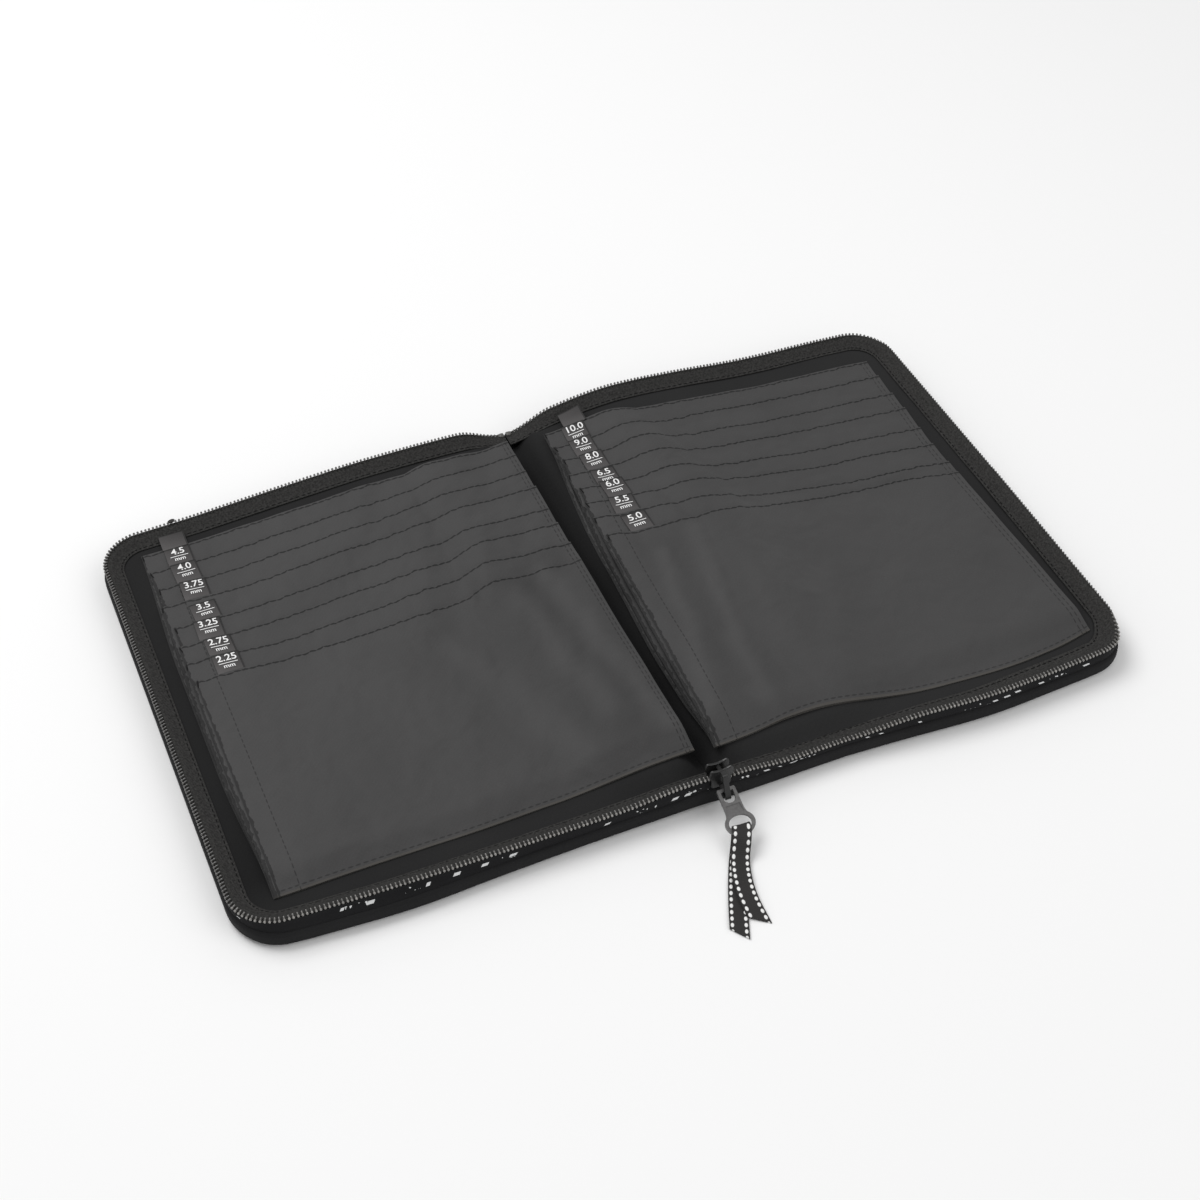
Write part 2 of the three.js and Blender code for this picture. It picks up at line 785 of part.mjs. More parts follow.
// Assembly
covers.forEach((cover) => {
  const start = coverStart + panelFloor + seatGap;
  const inset = panelRim + seatGap;
  const boardTop = boardBase + boardThickness;
  const add = (name, geometry, material) =>
    addMesh(`${cover.name}_${name}`, geometry, material);
  add('outer_panel', outerPanel(cover), cloth(0x1d1d1f));
  add('board', coverLayer(cover, start, inset, boardBase, boardTop), cloth(0x5a5650));
  add('lining', coverLayer(cover, start, inset, liningBase, liningTop), cloth(0x262626));
  add('gusset', gusset(cover), cloth(0x1d1d1f));
  add('zipper_tape', zipperTape(cover), cloth(0x2a2725));
  add('zipper_coil', zipperCoil(cover), cloth(0x3c3a38));
  add('top_stop', topStop(cover), metal(0xb8b0a4));
  for (let k = 0; k < pocketCount; k += 1) {
    add(`pocket_${k + 1}`, pocket(cover, k), cloth(0x4a4b4d));
    add(`label_${k + 1}`, label(cover, k), cloth(0x5a5657));
  }
});
addMesh('spine_outer', spineOuter(), cloth(0x1d1d1f));
addMesh('spine_lining', spineLining(), cloth(0x262626));
addMesh('front_chain', chainEnd(), cloth(0x3c3a38));
addMesh('bottom_stop', bottomStop(), metal(0x4a4644));
addMesh('slider_body', sliderBody(), metal(0x2b2b2c));
addMesh('slider_bail', sliderBail(), metal(0x2b2b2c));
const tab = addMesh('pull_tab', pullTab(), metal(0x8a8a8c));
tab.position.copy(tabPivot);
tab.rotation.x = tabDroop;
addMesh('pull_ribbon', pullRibbon(), cloth(0x1a1a1b));

export default group;
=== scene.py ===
import bmesh
import bpy
from math import cos, exp, hypot, pi, radians, sin, sqrt
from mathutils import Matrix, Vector, noise


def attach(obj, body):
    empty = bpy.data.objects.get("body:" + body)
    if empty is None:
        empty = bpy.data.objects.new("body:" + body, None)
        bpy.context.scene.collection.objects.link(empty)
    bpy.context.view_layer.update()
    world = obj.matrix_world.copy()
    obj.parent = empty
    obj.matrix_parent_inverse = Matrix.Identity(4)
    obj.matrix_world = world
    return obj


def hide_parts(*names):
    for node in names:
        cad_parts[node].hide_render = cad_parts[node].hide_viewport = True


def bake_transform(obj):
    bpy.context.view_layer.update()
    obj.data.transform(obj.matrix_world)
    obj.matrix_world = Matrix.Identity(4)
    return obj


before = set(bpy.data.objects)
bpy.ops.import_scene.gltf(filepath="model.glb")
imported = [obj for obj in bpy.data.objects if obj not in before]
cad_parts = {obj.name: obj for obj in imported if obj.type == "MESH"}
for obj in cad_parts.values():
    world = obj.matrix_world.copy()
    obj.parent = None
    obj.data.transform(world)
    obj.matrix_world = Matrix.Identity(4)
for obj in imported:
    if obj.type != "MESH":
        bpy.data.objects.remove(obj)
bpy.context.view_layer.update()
mm = 0.001
print("frame loaded:", len(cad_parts), "CAD nodes")

# camera at the photograph's viewing angle
cameraSet = {"place": (-0.2074, -0.4794, 0.5308), "pitch": 45.2, "yaw": 23.3, "lens": 60.75, "sensor": 36}
bpy.ops.object.camera_add(
    location=cameraSet["place"],
    rotation=(radians(90 - cameraSet["pitch"]), 0, radians(-cameraSet["yaw"])),
)
camera = bpy.context.object
camera.data.lens = cameraSet["lens"]
camera.data.sensor_width = cameraSet["sensor"]
bpy.context.scene.camera = camera
print("camera set")


# shared modelling steps
def ease(low, high, value):
    share = min(max((value - low) / (high - low), 0), 1)
    return share * share * (3 - 2 * share)


def mix(a, b, share):
    return a + (b - a) * share


def profile(points, place):
    # a smooth line through a few (place, value) points
    if place <= points[0][0]:
        return points[0][1]
    for k in range(len(points) - 1):
        (p0, v0), (p1, v1) = points[k], points[k + 1]
        if place <= p1:
            before, after = points[max(k - 1, 0)], points[min(k + 2, len(points) - 1)]
            m0 = (v1 - before[1]) / (p1 - before[0]) * (p1 - p0)
            m1 = (after[1] - v0) / (after[0] - p0) * (p1 - p0)
            t = (place - p0) / (p1 - p0)
            rest = 1 - t
            ends = v0 * rest * rest * (1 + 2 * t) + v1 * t * t * (1 + 2 * rest)
            return ends + m0 * t * rest * rest - m1 * t * t * rest
    return points[-1][1]


def wander(x, y, seed, size):
    return noise.noise(Vector((x / size, y / size, seed)))


def gridPiece(name, columns, rows, place, flatUv=None):
    # a flat grid whose points are drawn to place(across, along), both from 0 to 1
    bpy.ops.mesh.primitive_grid_add(x_subdivisions=columns, y_subdivisions=rows, size=2)
    piece = bpy.context.object
    piece.name = name
    shares = [((v.co.x + 1) / 2, (v.co.y + 1) / 2) for v in piece.data.vertices]
    for vertex, share in zip(piece.data.vertices, shares):
        vertex.co = place(*share)
    if flatUv:
        layer = piece.data.uv_layers.active.data
        for loop in piece.data.loops:
            layer[loop.index].uv = flatUv(*shares[loop.vertex_index])
    return piece


def onlySelected(piece):
    bpy.ops.object.select_all(action="DESELECT")
    piece.select_set(True)
    bpy.context.view_layer.objects.active = piece


def joinPieces(parts, name):
    onlySelected(parts[0])
    for part in parts:
        part.select_set(True)
    bpy.ops.object.join()
    parts[0].name = name
    return parts[0]


def tidyMesh(piece, merge=True, fillEnds=False):
    onlySelected(piece)
    bpy.ops.object.mode_set(mode="EDIT")
    bpy.ops.mesh.select_all(action="SELECT")
    if merge:
        bpy.ops.mesh.remove_doubles(threshold=0.00001)
    if fillEnds:
        bpy.ops.mesh.select_all(action="SELECT")
        bpy.ops.mesh.fill_holes(sides=0)
    bpy.ops.mesh.select_all(action="SELECT")
    bpy.ops.mesh.normals_make_consistent(inside=False)
    bpy.ops.object.mode_set(mode="OBJECT")


def thicken(piece, thickness, offset=-1):
    onlySelected(piece)
    wall = piece.modifiers.new("wall", "SOLIDIFY")
    wall.thickness = thickness * mm
    wall.offset = offset
    bpy.ops.object.modifier_apply(modifier="wall")


def dress(piece, *materials):
    piece.data.materials.clear()
    for material in materials:
        piece.data.materials.append(material)


def smoothDress(piece, angle, *materials):
    onlySelected(piece)
    bpy.ops.object.shade_smooth_by_angle(angle=radians(angle))
    dress(piece, *materials)


# shared shader steps
def setInputs(node, **values):
    # an input goes by its label, with _ for a space, or by its number, as i0
    for key, value in values.items():
        numbered = key[0] == "i" and key[1:].isdigit()
        socket = node.inputs[int(key[1:]) if numbered else key.replace("_", " ")]
        if isinstance(value, bpy.types.NodeSocket):
            node.id_data.links.new(value, socket)
        else:
            socket.default_value = value


def shaderNode(tree, kind, settings=None, **inputs):
    node = tree.nodes.new("ShaderNode" + kind)
    for key, value in (settings or {}).items():
        setattr(node, key, value)
    setInputs(node, **inputs)
    return node


def calc(operation, a, b=0.0, c=0.0):
    tree = next(value.id_data for value in (a, b, c) if isinstance(value, bpy.types.NodeSocket))
    return shaderNode(tree, "Math", {"operation": operation}, i0=a, i1=b, i2=c).outputs[0]


def times(a, b):
    return calc("MULTIPLY", a, b)


def minus(a, b):
    return calc("SUBTRACT", a, b)


def scaled(value, factor, offset):
    return calc("MULTIPLY_ADD", value, factor, offset)


def clamp(value):
    return shaderNode(value.id_data, "Clamp", Value=value).outputs[0]


def blendColour(share, a, b):
    kind = {"data_type": "RGBA"}
    return shaderNode(share.id_data, "Mix", kind, i0=share, i6=a, i7=b).outputs[2]


def grey(value):
    return (value, value, value, 1)


def objectPlace(tree):
    return shaderNode(tree, "TexCoord").outputs["Object"]


def splitPlace(place):
    return shaderNode(place.id_data, "SeparateXYZ", i0=place).outputs


def flatPlaces(tree):
    # the flat cloth's own measures, in metres, from its UV map
    return splitPlace(shaderNode(tree, "TexCoord").outputs["UV"])[:2]


def addNoise(place, scale, detail, distortion=0.0):
    inputs = {"Vector": place, "Scale": scale, "Detail": detail, "Distortion": distortion}
    return shaderNode(place.id_data, "TexNoise", **inputs).outputs[0]


def lineNoise(along, scale, detail):
    tree, kind = along.id_data, {"noise_dimensions": "1D"}
    return shaderNode(tree, "TexNoise", kind, W=along, Scale=scale, Detail=detail).outputs[0]


def newGroup(name, inputs, outputs):
    # an input without a starting value is a vector, all the others are single values
    group = bpy.data.node_groups.new(name, "ShaderNodeTree")
    for label, value in inputs.items():
        kind = "NodeSocketVector" if value is None else "NodeSocketFloat"
        socket = group.interface.new_socket(label, in_out="INPUT", socket_type=kind)
        if value is not None:
            socket.default_value = value
    for label in outputs:
        group.interface.new_socket(label, in_out="OUTPUT", socket_type="NodeSocketFloat")
    return group, group.nodes.new("NodeGroupInput").outputs, group.nodes.new("NodeGroupOutput")


# woven threads over and under each other, with slow drifts of shade
def makeWeaveGroup():
    group, given, out = newGroup(
        "wovenCloth", {"Vector": None, "Threads": 2500.0, "Drift": 40.0}, ("Height", "Shade")
    )
    place, threads, drift = given[:3]
    parts = splitPlace(place)
    waves = [calc("SINE", times(parts[k], threads)) for k in (0, 1)]
    crossed = times(waves[0], waves[1])
    fuzz = addNoise(place, 2600.0, 2.0)
    cloud = addNoise(place, drift, 4.0)
    height = scaled(crossed, 0.35, fuzz)
    shade = scaled(cloud, 0.5, times(fuzz, 0.5))
    setInputs(out, Height=height, Shade=shade)
    return group


# a row of stitches along one flat direction: Along and Across are in metres
def makeStitchGroup():
    group, given, out = newGroup(
        "stitchRow",
        {"Along": 0.0, "Across": 0.0, "Pitch": 0.0025, "Length": 0.0016, "Width": 0.001},
        ("Mask", "Height"),
    )
    along, across, pitch, length, width = given[:5]
    turn = calc("FRACT", calc("DIVIDE", along, pitch))
    fromMiddle = times(minus(turn, 0.5), pitch)
    a = calc("DIVIDE", fromMiddle, times(length, 0.5))
    b = calc("DIVIDE", across, times(width, 0.5))
    reach = calc("ADD", times(a, a), times(b, b))
    dome = calc("MAXIMUM", minus(1.0, reach), 0.0)
    mask = calc("MINIMUM", times(dome, 3.0), 1.0)
    setInputs(out, Mask=mask, Height=dome)
    return group


weaveGroup = makeWeaveGroup()
stitchGroup = makeStitchGroup()


def newMaterial(name):
    material = bpy.data.materials.new(name)
    material.use_nodes = True
    return material, material.node_tree, material.node_tree.nodes["Principled BSDF"]


def addWeave(tree, threads, drift):
    place, kind = objectPlace(tree), {"node_tree": weaveGroup}
    woven = shaderNode(tree, "Group", kind, Vector=place, Threads=threads, Drift=drift).outputs
    return woven["Shade"], woven["Height"]


def addStitches(along, across, pitch, length, width):
    sewn = shaderNode(along.id_data, "Group", {"node_tree": stitchGroup}, Along=along, Across=across)
    setInputs(sewn, Pitch=pitch, Length=length, Width=width)
    return sewn.outputs["Mask"], sewn.outputs["Height"]


def addBump(shader, height, strength, distance):
    bump = shaderNode(height.id_data, "Bump", Height=height, Strength=strength, Distance=distance)
    setInputs(shader, Normal=bump.outputs[0])


def clothLook(shader, colour, height, roughness, specular, strength=0.5, distance=0.00008):
    setInputs(shader, Base_Color=colour, Roughness=roughness, Specular_IOR_Level=specular)
    addBump(shader, height, strength, distance)


def clothMaterial(name, dark, light, threads, drift, roughness):
    material, tree, shader = newMaterial(name)
    shade, height = addWeave(tree, threads, drift)
    clothLook(shader, blendColour(shade, dark, light), height, roughness, 0.12)
    return material


# ribbon through the pull's ring: two tails that share the fold inside the ring
ribbonSet = {
    "width": 6.3, "thickness": 0.45, "steps": 80, "strands": 10, "ripple": 0.12,
    "pivot": (0, -102.834, 10.727), "droop": 20, "clear": 1.19, "turn": 14.14, "past": 17.2, "rounding": 0.7,
    "swing": 0.045, "swingFrom": 11.0, "floor": 0.55, "shares": (0.2, 0.45, 0.72, 1),
    "lower": {"length": 31.8, "asides": (-5.5, -9.6, -13.6, -17.4), "lifts": (0, 0, 0, 0), "cut": 3.9},
    "upper": {"length": 29.6, "asides": (-4.6, -7.4, -9.0, -9.2), "lifts": (1.0, 1.0, 0.9, 0.0), "cut": 4.6},
}


def ribbonMaterial():
    material, tree, shader = newMaterial("stitchedRibbon")
    along, across = flatPlaces(tree)
    fromEdge = minus(calc("ABSOLUTE", across), 0.0022)
    stitches, dome = addStitches(along, fromEdge, 0.0025, 0.0018, 0.0012)
    ribs = calc("SINE", times(along, 9000.0))
    shade = addWeave(tree, 3000.0, 120.0)[0]
    ground = blendColour(shade, (0.012, 0.011, 0.011, 1), (0.04, 0.038, 0.037, 1))
    colour = blendColour(stitches, ground, (0.85, 0.85, 0.84, 1))
    height = scaled(ribs, 0.12, times(dome, 1.6))
    clothLook(shader, colour, height, 0.8, 0.3, 0.7, 0.00025)
    return material


def ribbonRoute(part):
    # from the fold over the ring's foot, then along the table
    droop = radians(ribbonSet["droop"])
    pivot = Vector(ribbonSet["pivot"])
    outward = Vector((0, -cos(droop), -sin(droop)))
    upward = Vector((0, -sin(droop), cos(droop)))
    tail, clear, turn, past = ribbonSet[part], ribbonSet["clear"], ribbonSet["turn"], ribbonSet["past"]

    def onTab(reach, above):
        aside = Vector((-ribbonSet["swing"] * (reach - ribbonSet["swingFrom"]) ** 2, 0, 0))
        return pivot + outward * reach + upward * above + aside

    start = onTab(past, -clear)
    lying = []
    for share, aside, lift in zip(ribbonSet["shares"], tail["asides"], tail["lifts"]):
        lying.append(Vector((aside, start.y - tail["length"] * share, ribbonSet["floor"] + lift)))
    if part == "lower":
        return [onTab(turn, -clear), start] + lying
    corner = clear * ribbonSet["rounding"]
    fold = [(turn, -clear), (turn - corner, -corner), (turn - clear, 0), (turn - corner, corner)]
    return [onTab(*spot) for spot in fold + [(turn, clear), (past, clear)]] + lying


def alongCurve(points, steps):
    # an even walk along a smooth curve through the points
    dense, last, cuts = [], len(points) - 1, 24
    for k in range(last):
        p0, p1, p2, p3 = points[max(k - 1, 0)], points[k], points[k + 1], points[min(k + 2, last)]
        bend, twist = p0 * 2 - p1 * 5 + p2 * 4 - p3, p1 * 3 - p0 - p2 * 3 + p3
        for t in (j / cuts for j in range(cuts)):
            dense.append((p1 * 2 + (p2 - p0) * t + bend * t * t + twist * t ** 3) / 2)
    dense.append(points[-1])
    reached = [0]
    for a, b in zip(dense, dense[1:]):
        reached.append(reached[-1] + (b - a).length)
    walked, k = [], 0
    for step in range(steps + 1):
        target = reached[-1] * step / steps
        while k < len(dense) - 2 and reached[k + 1] < target:
            k += 1
        span = max(reached[k + 1] - reached[k], 1e-9)
        walked.append(dense[k].lerp(dense[k + 1], min(max((target - reached[k]) / span, 0), 1)))
    return walked, reached[-1]


def ribbonTail(part, material):
    steps = ribbonSet["steps"]
    middle, length = alongCurve(ribbonRoute(part), steps)
    frames = []
    for k in range(steps + 1):
        heading = (middle[min(k + 1, steps)] - middle[max(k - 1, 0)]).normalized()
        across = Vector((1, 0, 0))
        if hypot(heading.x, heading.y) > 0.5:
            across = Vector((-heading.y, heading.x, 0)).normalized()
        if across.x < 0:
            across.negate()
        frames.append((heading, across, across.cross(heading).normalized()))

    def endCut(s, t):
        return ribbonSet[part]["cut"] * ease(0.85, 1, s) * (t - 0.5)

    def place(s, t):
        k = round(s * steps)
        heading, across, up = frames[k]
        aside = (t - 0.5) * ribbonSet["width"]
        lift = ribbonSet["ripple"] * sin(s * 9) * (t - 0.5)
        return (middle[k] + across * aside + heading * endCut(s, t) + up * lift) * mm

    def flat(s, t):
        return ((s * length + endCut(s, t)) * mm, (t - 0.5) * ribbonSet["width"] * mm)

    piece = gridPiece(part + "RibbonTail", steps, ribbonSet["strands"], place, flat)
    thicken(piece, ribbonSet["thickness"], 0)
    smoothDress(piece, 60, material)
    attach(piece, "puller")
    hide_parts("pull_ribbon")
    path = [tuple(point * mm) for point in middle]
    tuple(path[0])


ribbonCloth = ribbonMaterial()
for part in ("lower", "upper"):
    ribbonTail(part, ribbonCloth)
print("ribbon laid through the ring")

# form of the two covers, in millimetres: u runs out from the fold, inset runs in from the outline
caseSet = {"fold": 8, "width": 157, "depth": 192, "bow": 3.5, "corner": 17}
cornerStart = caseSet["width"] - caseSet["corner"]
coverSet = {
    "left": {
        "sign": -1, "fade": (-97, 60), "rimShare": 0.15,
        "back": [(-8, 0), (-2, 1), (10, 2.6), (25, 3.1), (55, 3.1), (85, 1.8), (120, 0.2), (157, 0)],
        "front": [(-8, 0), (0, 0.5), (8, 0.5), (28, 0.2), (40, 0), (157, 0)],
        "swell": [(40, 0), (70, 1.3), (100, 3), (130, 2.4), (157, 0.8)],
    },
    "right": {
        "sign": 1, "fade": (-97, 10), "rimShare": 1,
        "back": [
            (-8, 0), (-2, 1), (12, 3.6), (25, 5.8), (38, 6.8), (64, 5.3), (95, 2.5), (131, 2), (157, 1.2),
        ],
        "front": [(-8, 0), (157, 0)],
        "swell": [(40, 0), (62, 1.6), (95, 4.4), (130, 4.2), (157, 3.4)],
    },
}


def halfDepth(u, inset):
    bow = caseSet["bow"] * (1 - (min(u, cornerStart) / caseSet["width"]) ** 2)
    half = caseSet["depth"] / 2 + bow - inset
    if u <= cornerStart:
        return half
    radius = caseSet["corner"] - inset
    run = min(u - cornerStart, radius)
    return half - radius + sqrt(max(radius ** 2 - run ** 2, 0))


def archRise(side, u, y):
    cover = coverSet[side]
    share = ease(*cover["fade"], y)
    return max(mix(profile(cover["front"], u), profile(cover["back"], u), share), 0)


def onCover(side, u, y, height):
    # the front edge swells out, the band more than the zipper
    cover = coverSet[side]
    share = ease(-84, -94, y) * mix(1, cover["rimShare"], ease(6, 9, height))
    out = profile(cover["swell"], u) * share if share else 0
    return Vector((cover["sign"] * (caseSet["fold"] + u), y - out, height + archRise(side, u, y))) * mm


def foldWith(piece):
    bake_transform(piece)


# the zipper's line: along the front edge, round the outer edge, back along the back edge
rimSet = {"centre": 1.9, "frontOverhang": 6.2, "backOverhang": 7.7}
liftSet = {"from": 6.5, "over": 4.5, "backSink": -4.2, "leftRise": 1.7, "rightEnd": 0.2, "rightSag": 2.5}
frontRun = cornerStart + rimSet["frontOverhang"]
backRun = cornerStart + rimSet["backOverhang"]
cornerRun = (caseSet["corner"] - rimSet["centre"]) * pi / 2
cornerY = halfDepth(cornerStart, 0) - caseSet["corner"]
rimTotal = frontRun + backRun + 2 * cornerRun + 2 * cornerY


def rimPlace(distance):
    facing = 1 if distance > (rimTotal + frontRun - backRun) / 2 else -1
    along = rimTotal - distance if facing > 0 else distance
    straight = backRun if facing > 0 else frontRun
    if along < straight:
        u = cornerStart - straight + along
        return u, facing * halfDepth(u, 0), 0, facing
    angle = min((along - straight) / cornerRun, 1) * pi / 2
    past = max(along - straight - cornerRun, 0)
    outU, outY = sin(angle), facing * cos(angle)
    u = cornerStart + caseSet["corner"] * outU
    return u, facing * (cornerY - past) + caseSet["corner"] * outY, outU, outY


def spineLift(side, u, y, height):
    # near the spine the rim sinks at the back; in front the left row rises and the right row sags
    weight = min(max((height - liftSet["from"]) / liftSet["over"], 0), 1)
    if y > 0:
        return weight * liftSet["backSink"] * (1 - ease(-6, 12, u))
    if side == "left":
        return weight * liftSet["leftRise"] * (1 - ease(5, 27, u))
    sag = liftSet["rightSag"] * ease(-2, 22, u) * (1 - ease(40, 75, u))
    return weight * (liftSet["rightEnd"] - sag)


def onRim(side, spot, inset, height):
    u, y, outU, outY = spot
    lift = spineLift(side, u, y, height)
    return onCover(side, u - outU * inset, y - outY * inset, height + lift)


# padded covers: the outer fabric over its board, thin at the spine, with a standing band round the edge
shellSet = {
    "band": 6.5, "frontBand": 8.2, "floor": 1.2, "body": 6.2, "lowerRound": 2.6, "upperRound": 1.5,
    "rim": 2.3, "lowest": 0.02, "softness": 0.35, "fill": 0.9,
}


def bandHeight(u, front):
    return mix(shellSet["frontBand"] if front else shellSet["band"], shellSet["band"], ease(-6, 8, u))


def shellStations():
    width, corner = caseSet["width"], caseSet["corner"]
    places = [k - 8 for k in range(16)] + [8 + 4 * k for k in range(33)]
    places += [cornerStart + corner * sin(radians(7.5 * k)) for k in range(12)]
    places += [width - inset for inset in (3.2, 2.6, 2.3, 1.9, 1.5, 1.1, 0.8, 0.5, 0.25, 0.08, 0)]
    return sorted(set(round(place, 4) for place in places))


def shellRing(u, front):
    # half of the section, from the middle of the underside to the middle of the top, as (y, height)
    lower, upper, rim = shellSet["lowerRound"], shellSet["upperRound"], shellSet["rim"]
    top = bandHeight(u, front)
    inside = mix(shellSet["floor"], shellSet["body"], ease(-6.5, 0, u))
    edge = caseSet["width"] - u

    def rounding(radius, inset):
        return sqrt(max(radius ** 2 - (radius - min(inset, radius)) ** 2, 0))

    def under(inset):
        return lower - rounding(lower, inset)

    def over(inset):
        return inside if inset > rim + 0.2 else top - upper + rounding(upper, inset)

    points = []
    flatHalf = halfDepth(u, min(lower, edge))
    for share in (0, 0.2, 0.4, 0.6, 0.8, 0.93):
        points.append((flatHalf * share, under(min(lower, edge))))
    for angle in (0, 18, 36, 54, 72, 90):
        inset = min(lower * (1 - sin(radians(angle))), edge)
        points.append((halfDepth(u, inset), under(inset)))
    points.append((halfDepth(u, 0), mix(lower, top - upper, 0.5)))
    for angle in (0, 22, 45, 68, 90):
        inset = min(upper * (1 - cos(radians(angle))), edge)
        points.append((halfDepth(u, inset), over(inset)))
    for inset in (rim, rim + 0.3):
        points.append((halfDepth(u, min(inset, edge)), over(min(inset, edge))))
    innerHalf = halfDepth(u, min(rim + 0.6, edge))
    for share in (1, 0.8, 0.6, 0.4, 0.2, 0):
        points.append((innerHalf * share, over(min(rim + 0.6, edge))))
    return points


def coverShell(side):
    stations = shellStations()
    last = len(stations) - 1
    rings = []
    for u in stations:
        rings.append([(-y, h) for y, h in shellRing(u, True)] + shellRing(u, False)[::-1])
    count = len(rings[0])

    def place(s, t):
        u = stations[round(s * last)]
        y, height = rings[round(s * last)][round(t * count) % count]
        onSide = ease(4, 0.5, abs(abs(y) - halfDepth(u, 0)) if u < 150 else 0)
        drift = wander(u, height * 3, 1.7 if y > 0 else 5.2, 22)
        soft = shellSet["softness"] * drift * onSide * ease(0, 3, height)
        if u < cornerStart:
            y += soft * (1 if y > 0 else -1)
        return onCover(side, u, y, max(height, shellSet["lowest"]))

    piece = gridPiece(side + "CoverShell", last, count, place)
    tidyMesh(piece, fillEnds=True)
    smoothDress(piece, 50, outerFabric)
    foldWith(piece)
    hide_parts(side + "_outer_panel", side + "_board", "spine_outer")


outerFabric = clothMaterial(
    "outerFabric", (0.007, 0.007, 0.0074, 1), (0.022, 0.022, 0.0228, 1), 2600.0, 60.0, 0.75
)
for side in coverSet:
    coverShell(side)
print("padded covers made")

# measures of the pocket stacks and how they billow; a ridge has two ends, a width and a height
pocketSet = {
    "count": 8, "base": 7.75, "layer": 0.45, "thickness": 0.3, "columns": 96, "rows": 60,
    "left": {
        "inner": -5.2, "lean": 0.0, "end": 141.2, "front": -84.3, "turn": -0.014,
        "hems": [86.5, 76.2, 66.4, 56.0, 43.6, 33.6, 24.2, 14.0],
        "seam": 133.0, "pair": (-4.0, -2.6), "label": 122.5,
        "billow": {"edge": 4.4, "hump": 4, "peak": 30, "width": 11},
        "ridges": [(8, 12, -1, -72, 5, 1.0), (24, 2, 14, -58, 6, 0.7), (52, -10, 30, -70, 7, 0.5)],
    },
    "right": {
        "inner": 0.8, "lean": 0.047, "end": 145.4, "front": -86.0, "turn": -0.051,
        "hems": [83.6, 74.1, 64.6, 55.1, 45.6, 36.1, 26.6, 17.1],
        "seam": 8.3, "pair": (142.0, 143.7), "label": 10.8,
        "billow": {
            "edge": 4, "frontEdge": 4.6, "hump": 7, "base": 2.5,
            "peak": 30, "slant": 0.2, "lastPeak": 45, "inside": 12, "outside": 18,
        },
        "ridges": [(17, 4, 3, -70, 4.0, 0.8), (34, 8, 20, -76, 4.5, 0.8), (66, -30, 44, -78, 7, 0.3)],
    },
}
topIndex = pocketSet["count"] - 1


def stackRise(side, u, y):
    # how the pockets billow above the lining near the spine
    form = pocketSet[side]["billow"]
    if side == "left":
        edge = form["edge"] * (1 - ease(8, 48, u))
        hump = form["hump"] * exp(-((u - form["peak"]) / form["width"]) ** 2) * ease(-75, 5, y)
        return edge + hump
    peak = min(form["peak"] + (84 - y) * form["slant"], form["lastPeak"])
    width = form["inside"] if u < peak else form["outside"]
    inward = ease(-85, -20, y)
    hump = form["hump"] * inward * exp(-((u - peak) / width) ** 2)
    base = form["base"] * (1 - ease(60, 110, u)) * ease(0, 25, u) * ease(-80, -20, y)
    frontEdge = form["frontEdge"] * (1 - ease(34, 78, u))
    edge = mix(frontEdge, form["edge"] * (1 - ease(2, 30, u)), inward)
    return edge + hump + base


# lining: covers the board inside the zipper and dips along the spine
liningSet = {
    "height": 7.4, "valley": 2.2, "frontEnd": 3.6, "backEnd": 1.2, "inset": 7.2, "thickness": 0.5,
    "softness": 0.25, "columns": 70, "rows": 80, "flat": (0.158, 0.184),
}


def liningMaterial():
    # painted light and shade: the cloth is painted paler towards the back and the right and along the front
    # strip, and painted darker along the spine's valley, where shade falls
    material, tree, shader = newMaterial("liningCloth")
    shade, height = addWeave(tree, 2200.0, 30.0)
    x, y = splitPlace(objectPlace(tree))[:2]
    paintedLight = scaled(y, 2.2, scaled(x, 1.2, 0.45))
    # painted light along the lining's front strip
    strip = clamp(scaled(y, -80.0, -6.0))
    paintedLight = scaled(strip, 0.38, paintedLight)
    # painted shade: darker towards the spine's valley
    valley = calc("MINIMUM", times(calc("ABSOLUTE", x), 70.0), 1.0)
    pale = times(clamp(paintedLight), valley)
    # the same cloth in a shaded and a lit colour, blended by the painted light
    flat = blendColour(shade, (0.005, 0.005, 0.0051, 1), (0.015, 0.015, 0.0152, 1))
    paintedLitColour = blendColour(shade, (0.017, 0.017, 0.0172, 1), (0.034, 0.034, 0.0343, 1))
    clothLook(shader, blendColour(pale, flat, paintedLitColour), height, 0.9, 0.12)
    return material


def liningHeight(side, u, y):
    # rises with the pockets' front seam and dips along the spine
    end = halfDepth(u, 0) - abs(y)
    rise = liningSet["frontEnd"] if y < 0 else liningSet["backEnd"]
    valley = liningSet["valley"] + rise * (1 - ease(6, 22, end))
    height = mix(valley, liningSet["height"], ease(-6.5, 0.5, u))
    fromSeam = y - pocketSet[side]["front"]
    drawn = ease(26, 4, fromSeam) * ease(0, 7, end - liningSet["inset"]) * ease(-8, 0, u)
    return height + max(0.9 * stackRise(side, u, y) - archRise(side, u, y), 0) * drawn


def coverLining(side, material):
    inset = liningSet["inset"]
    outer = caseSet["width"] - inset

    def place(s, t):
        u = mix(-caseSet["fold"], outer, 1 - (1 - s) ** 1.35)
        y = halfDepth(u, inset) * (2 * t - 1)
        soft = liningSet["softness"] * wander(u, y, 9.3, 26) * ease(0, 20, u)
        return onCover(side, u, y, liningHeight(side, u, y) + soft)

    piece = gridPiece(side + "CoverLining", liningSet["columns"], liningSet["rows"], place)
    tidyMesh(piece)
    if piece.data.polygons[len(piece.data.polygons) // 2].normal.z < 0:
        piece.data.flip_normals()
    thicken(piece, liningSet["thickness"])
    smoothDress(piece, 50, material)
    foldWith(piece)
    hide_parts(side + "_lining", "spine_lining")


liningCloth = liningMaterial()
for side in coverSet:
    coverLining(side, liningCloth)
print("linings made")

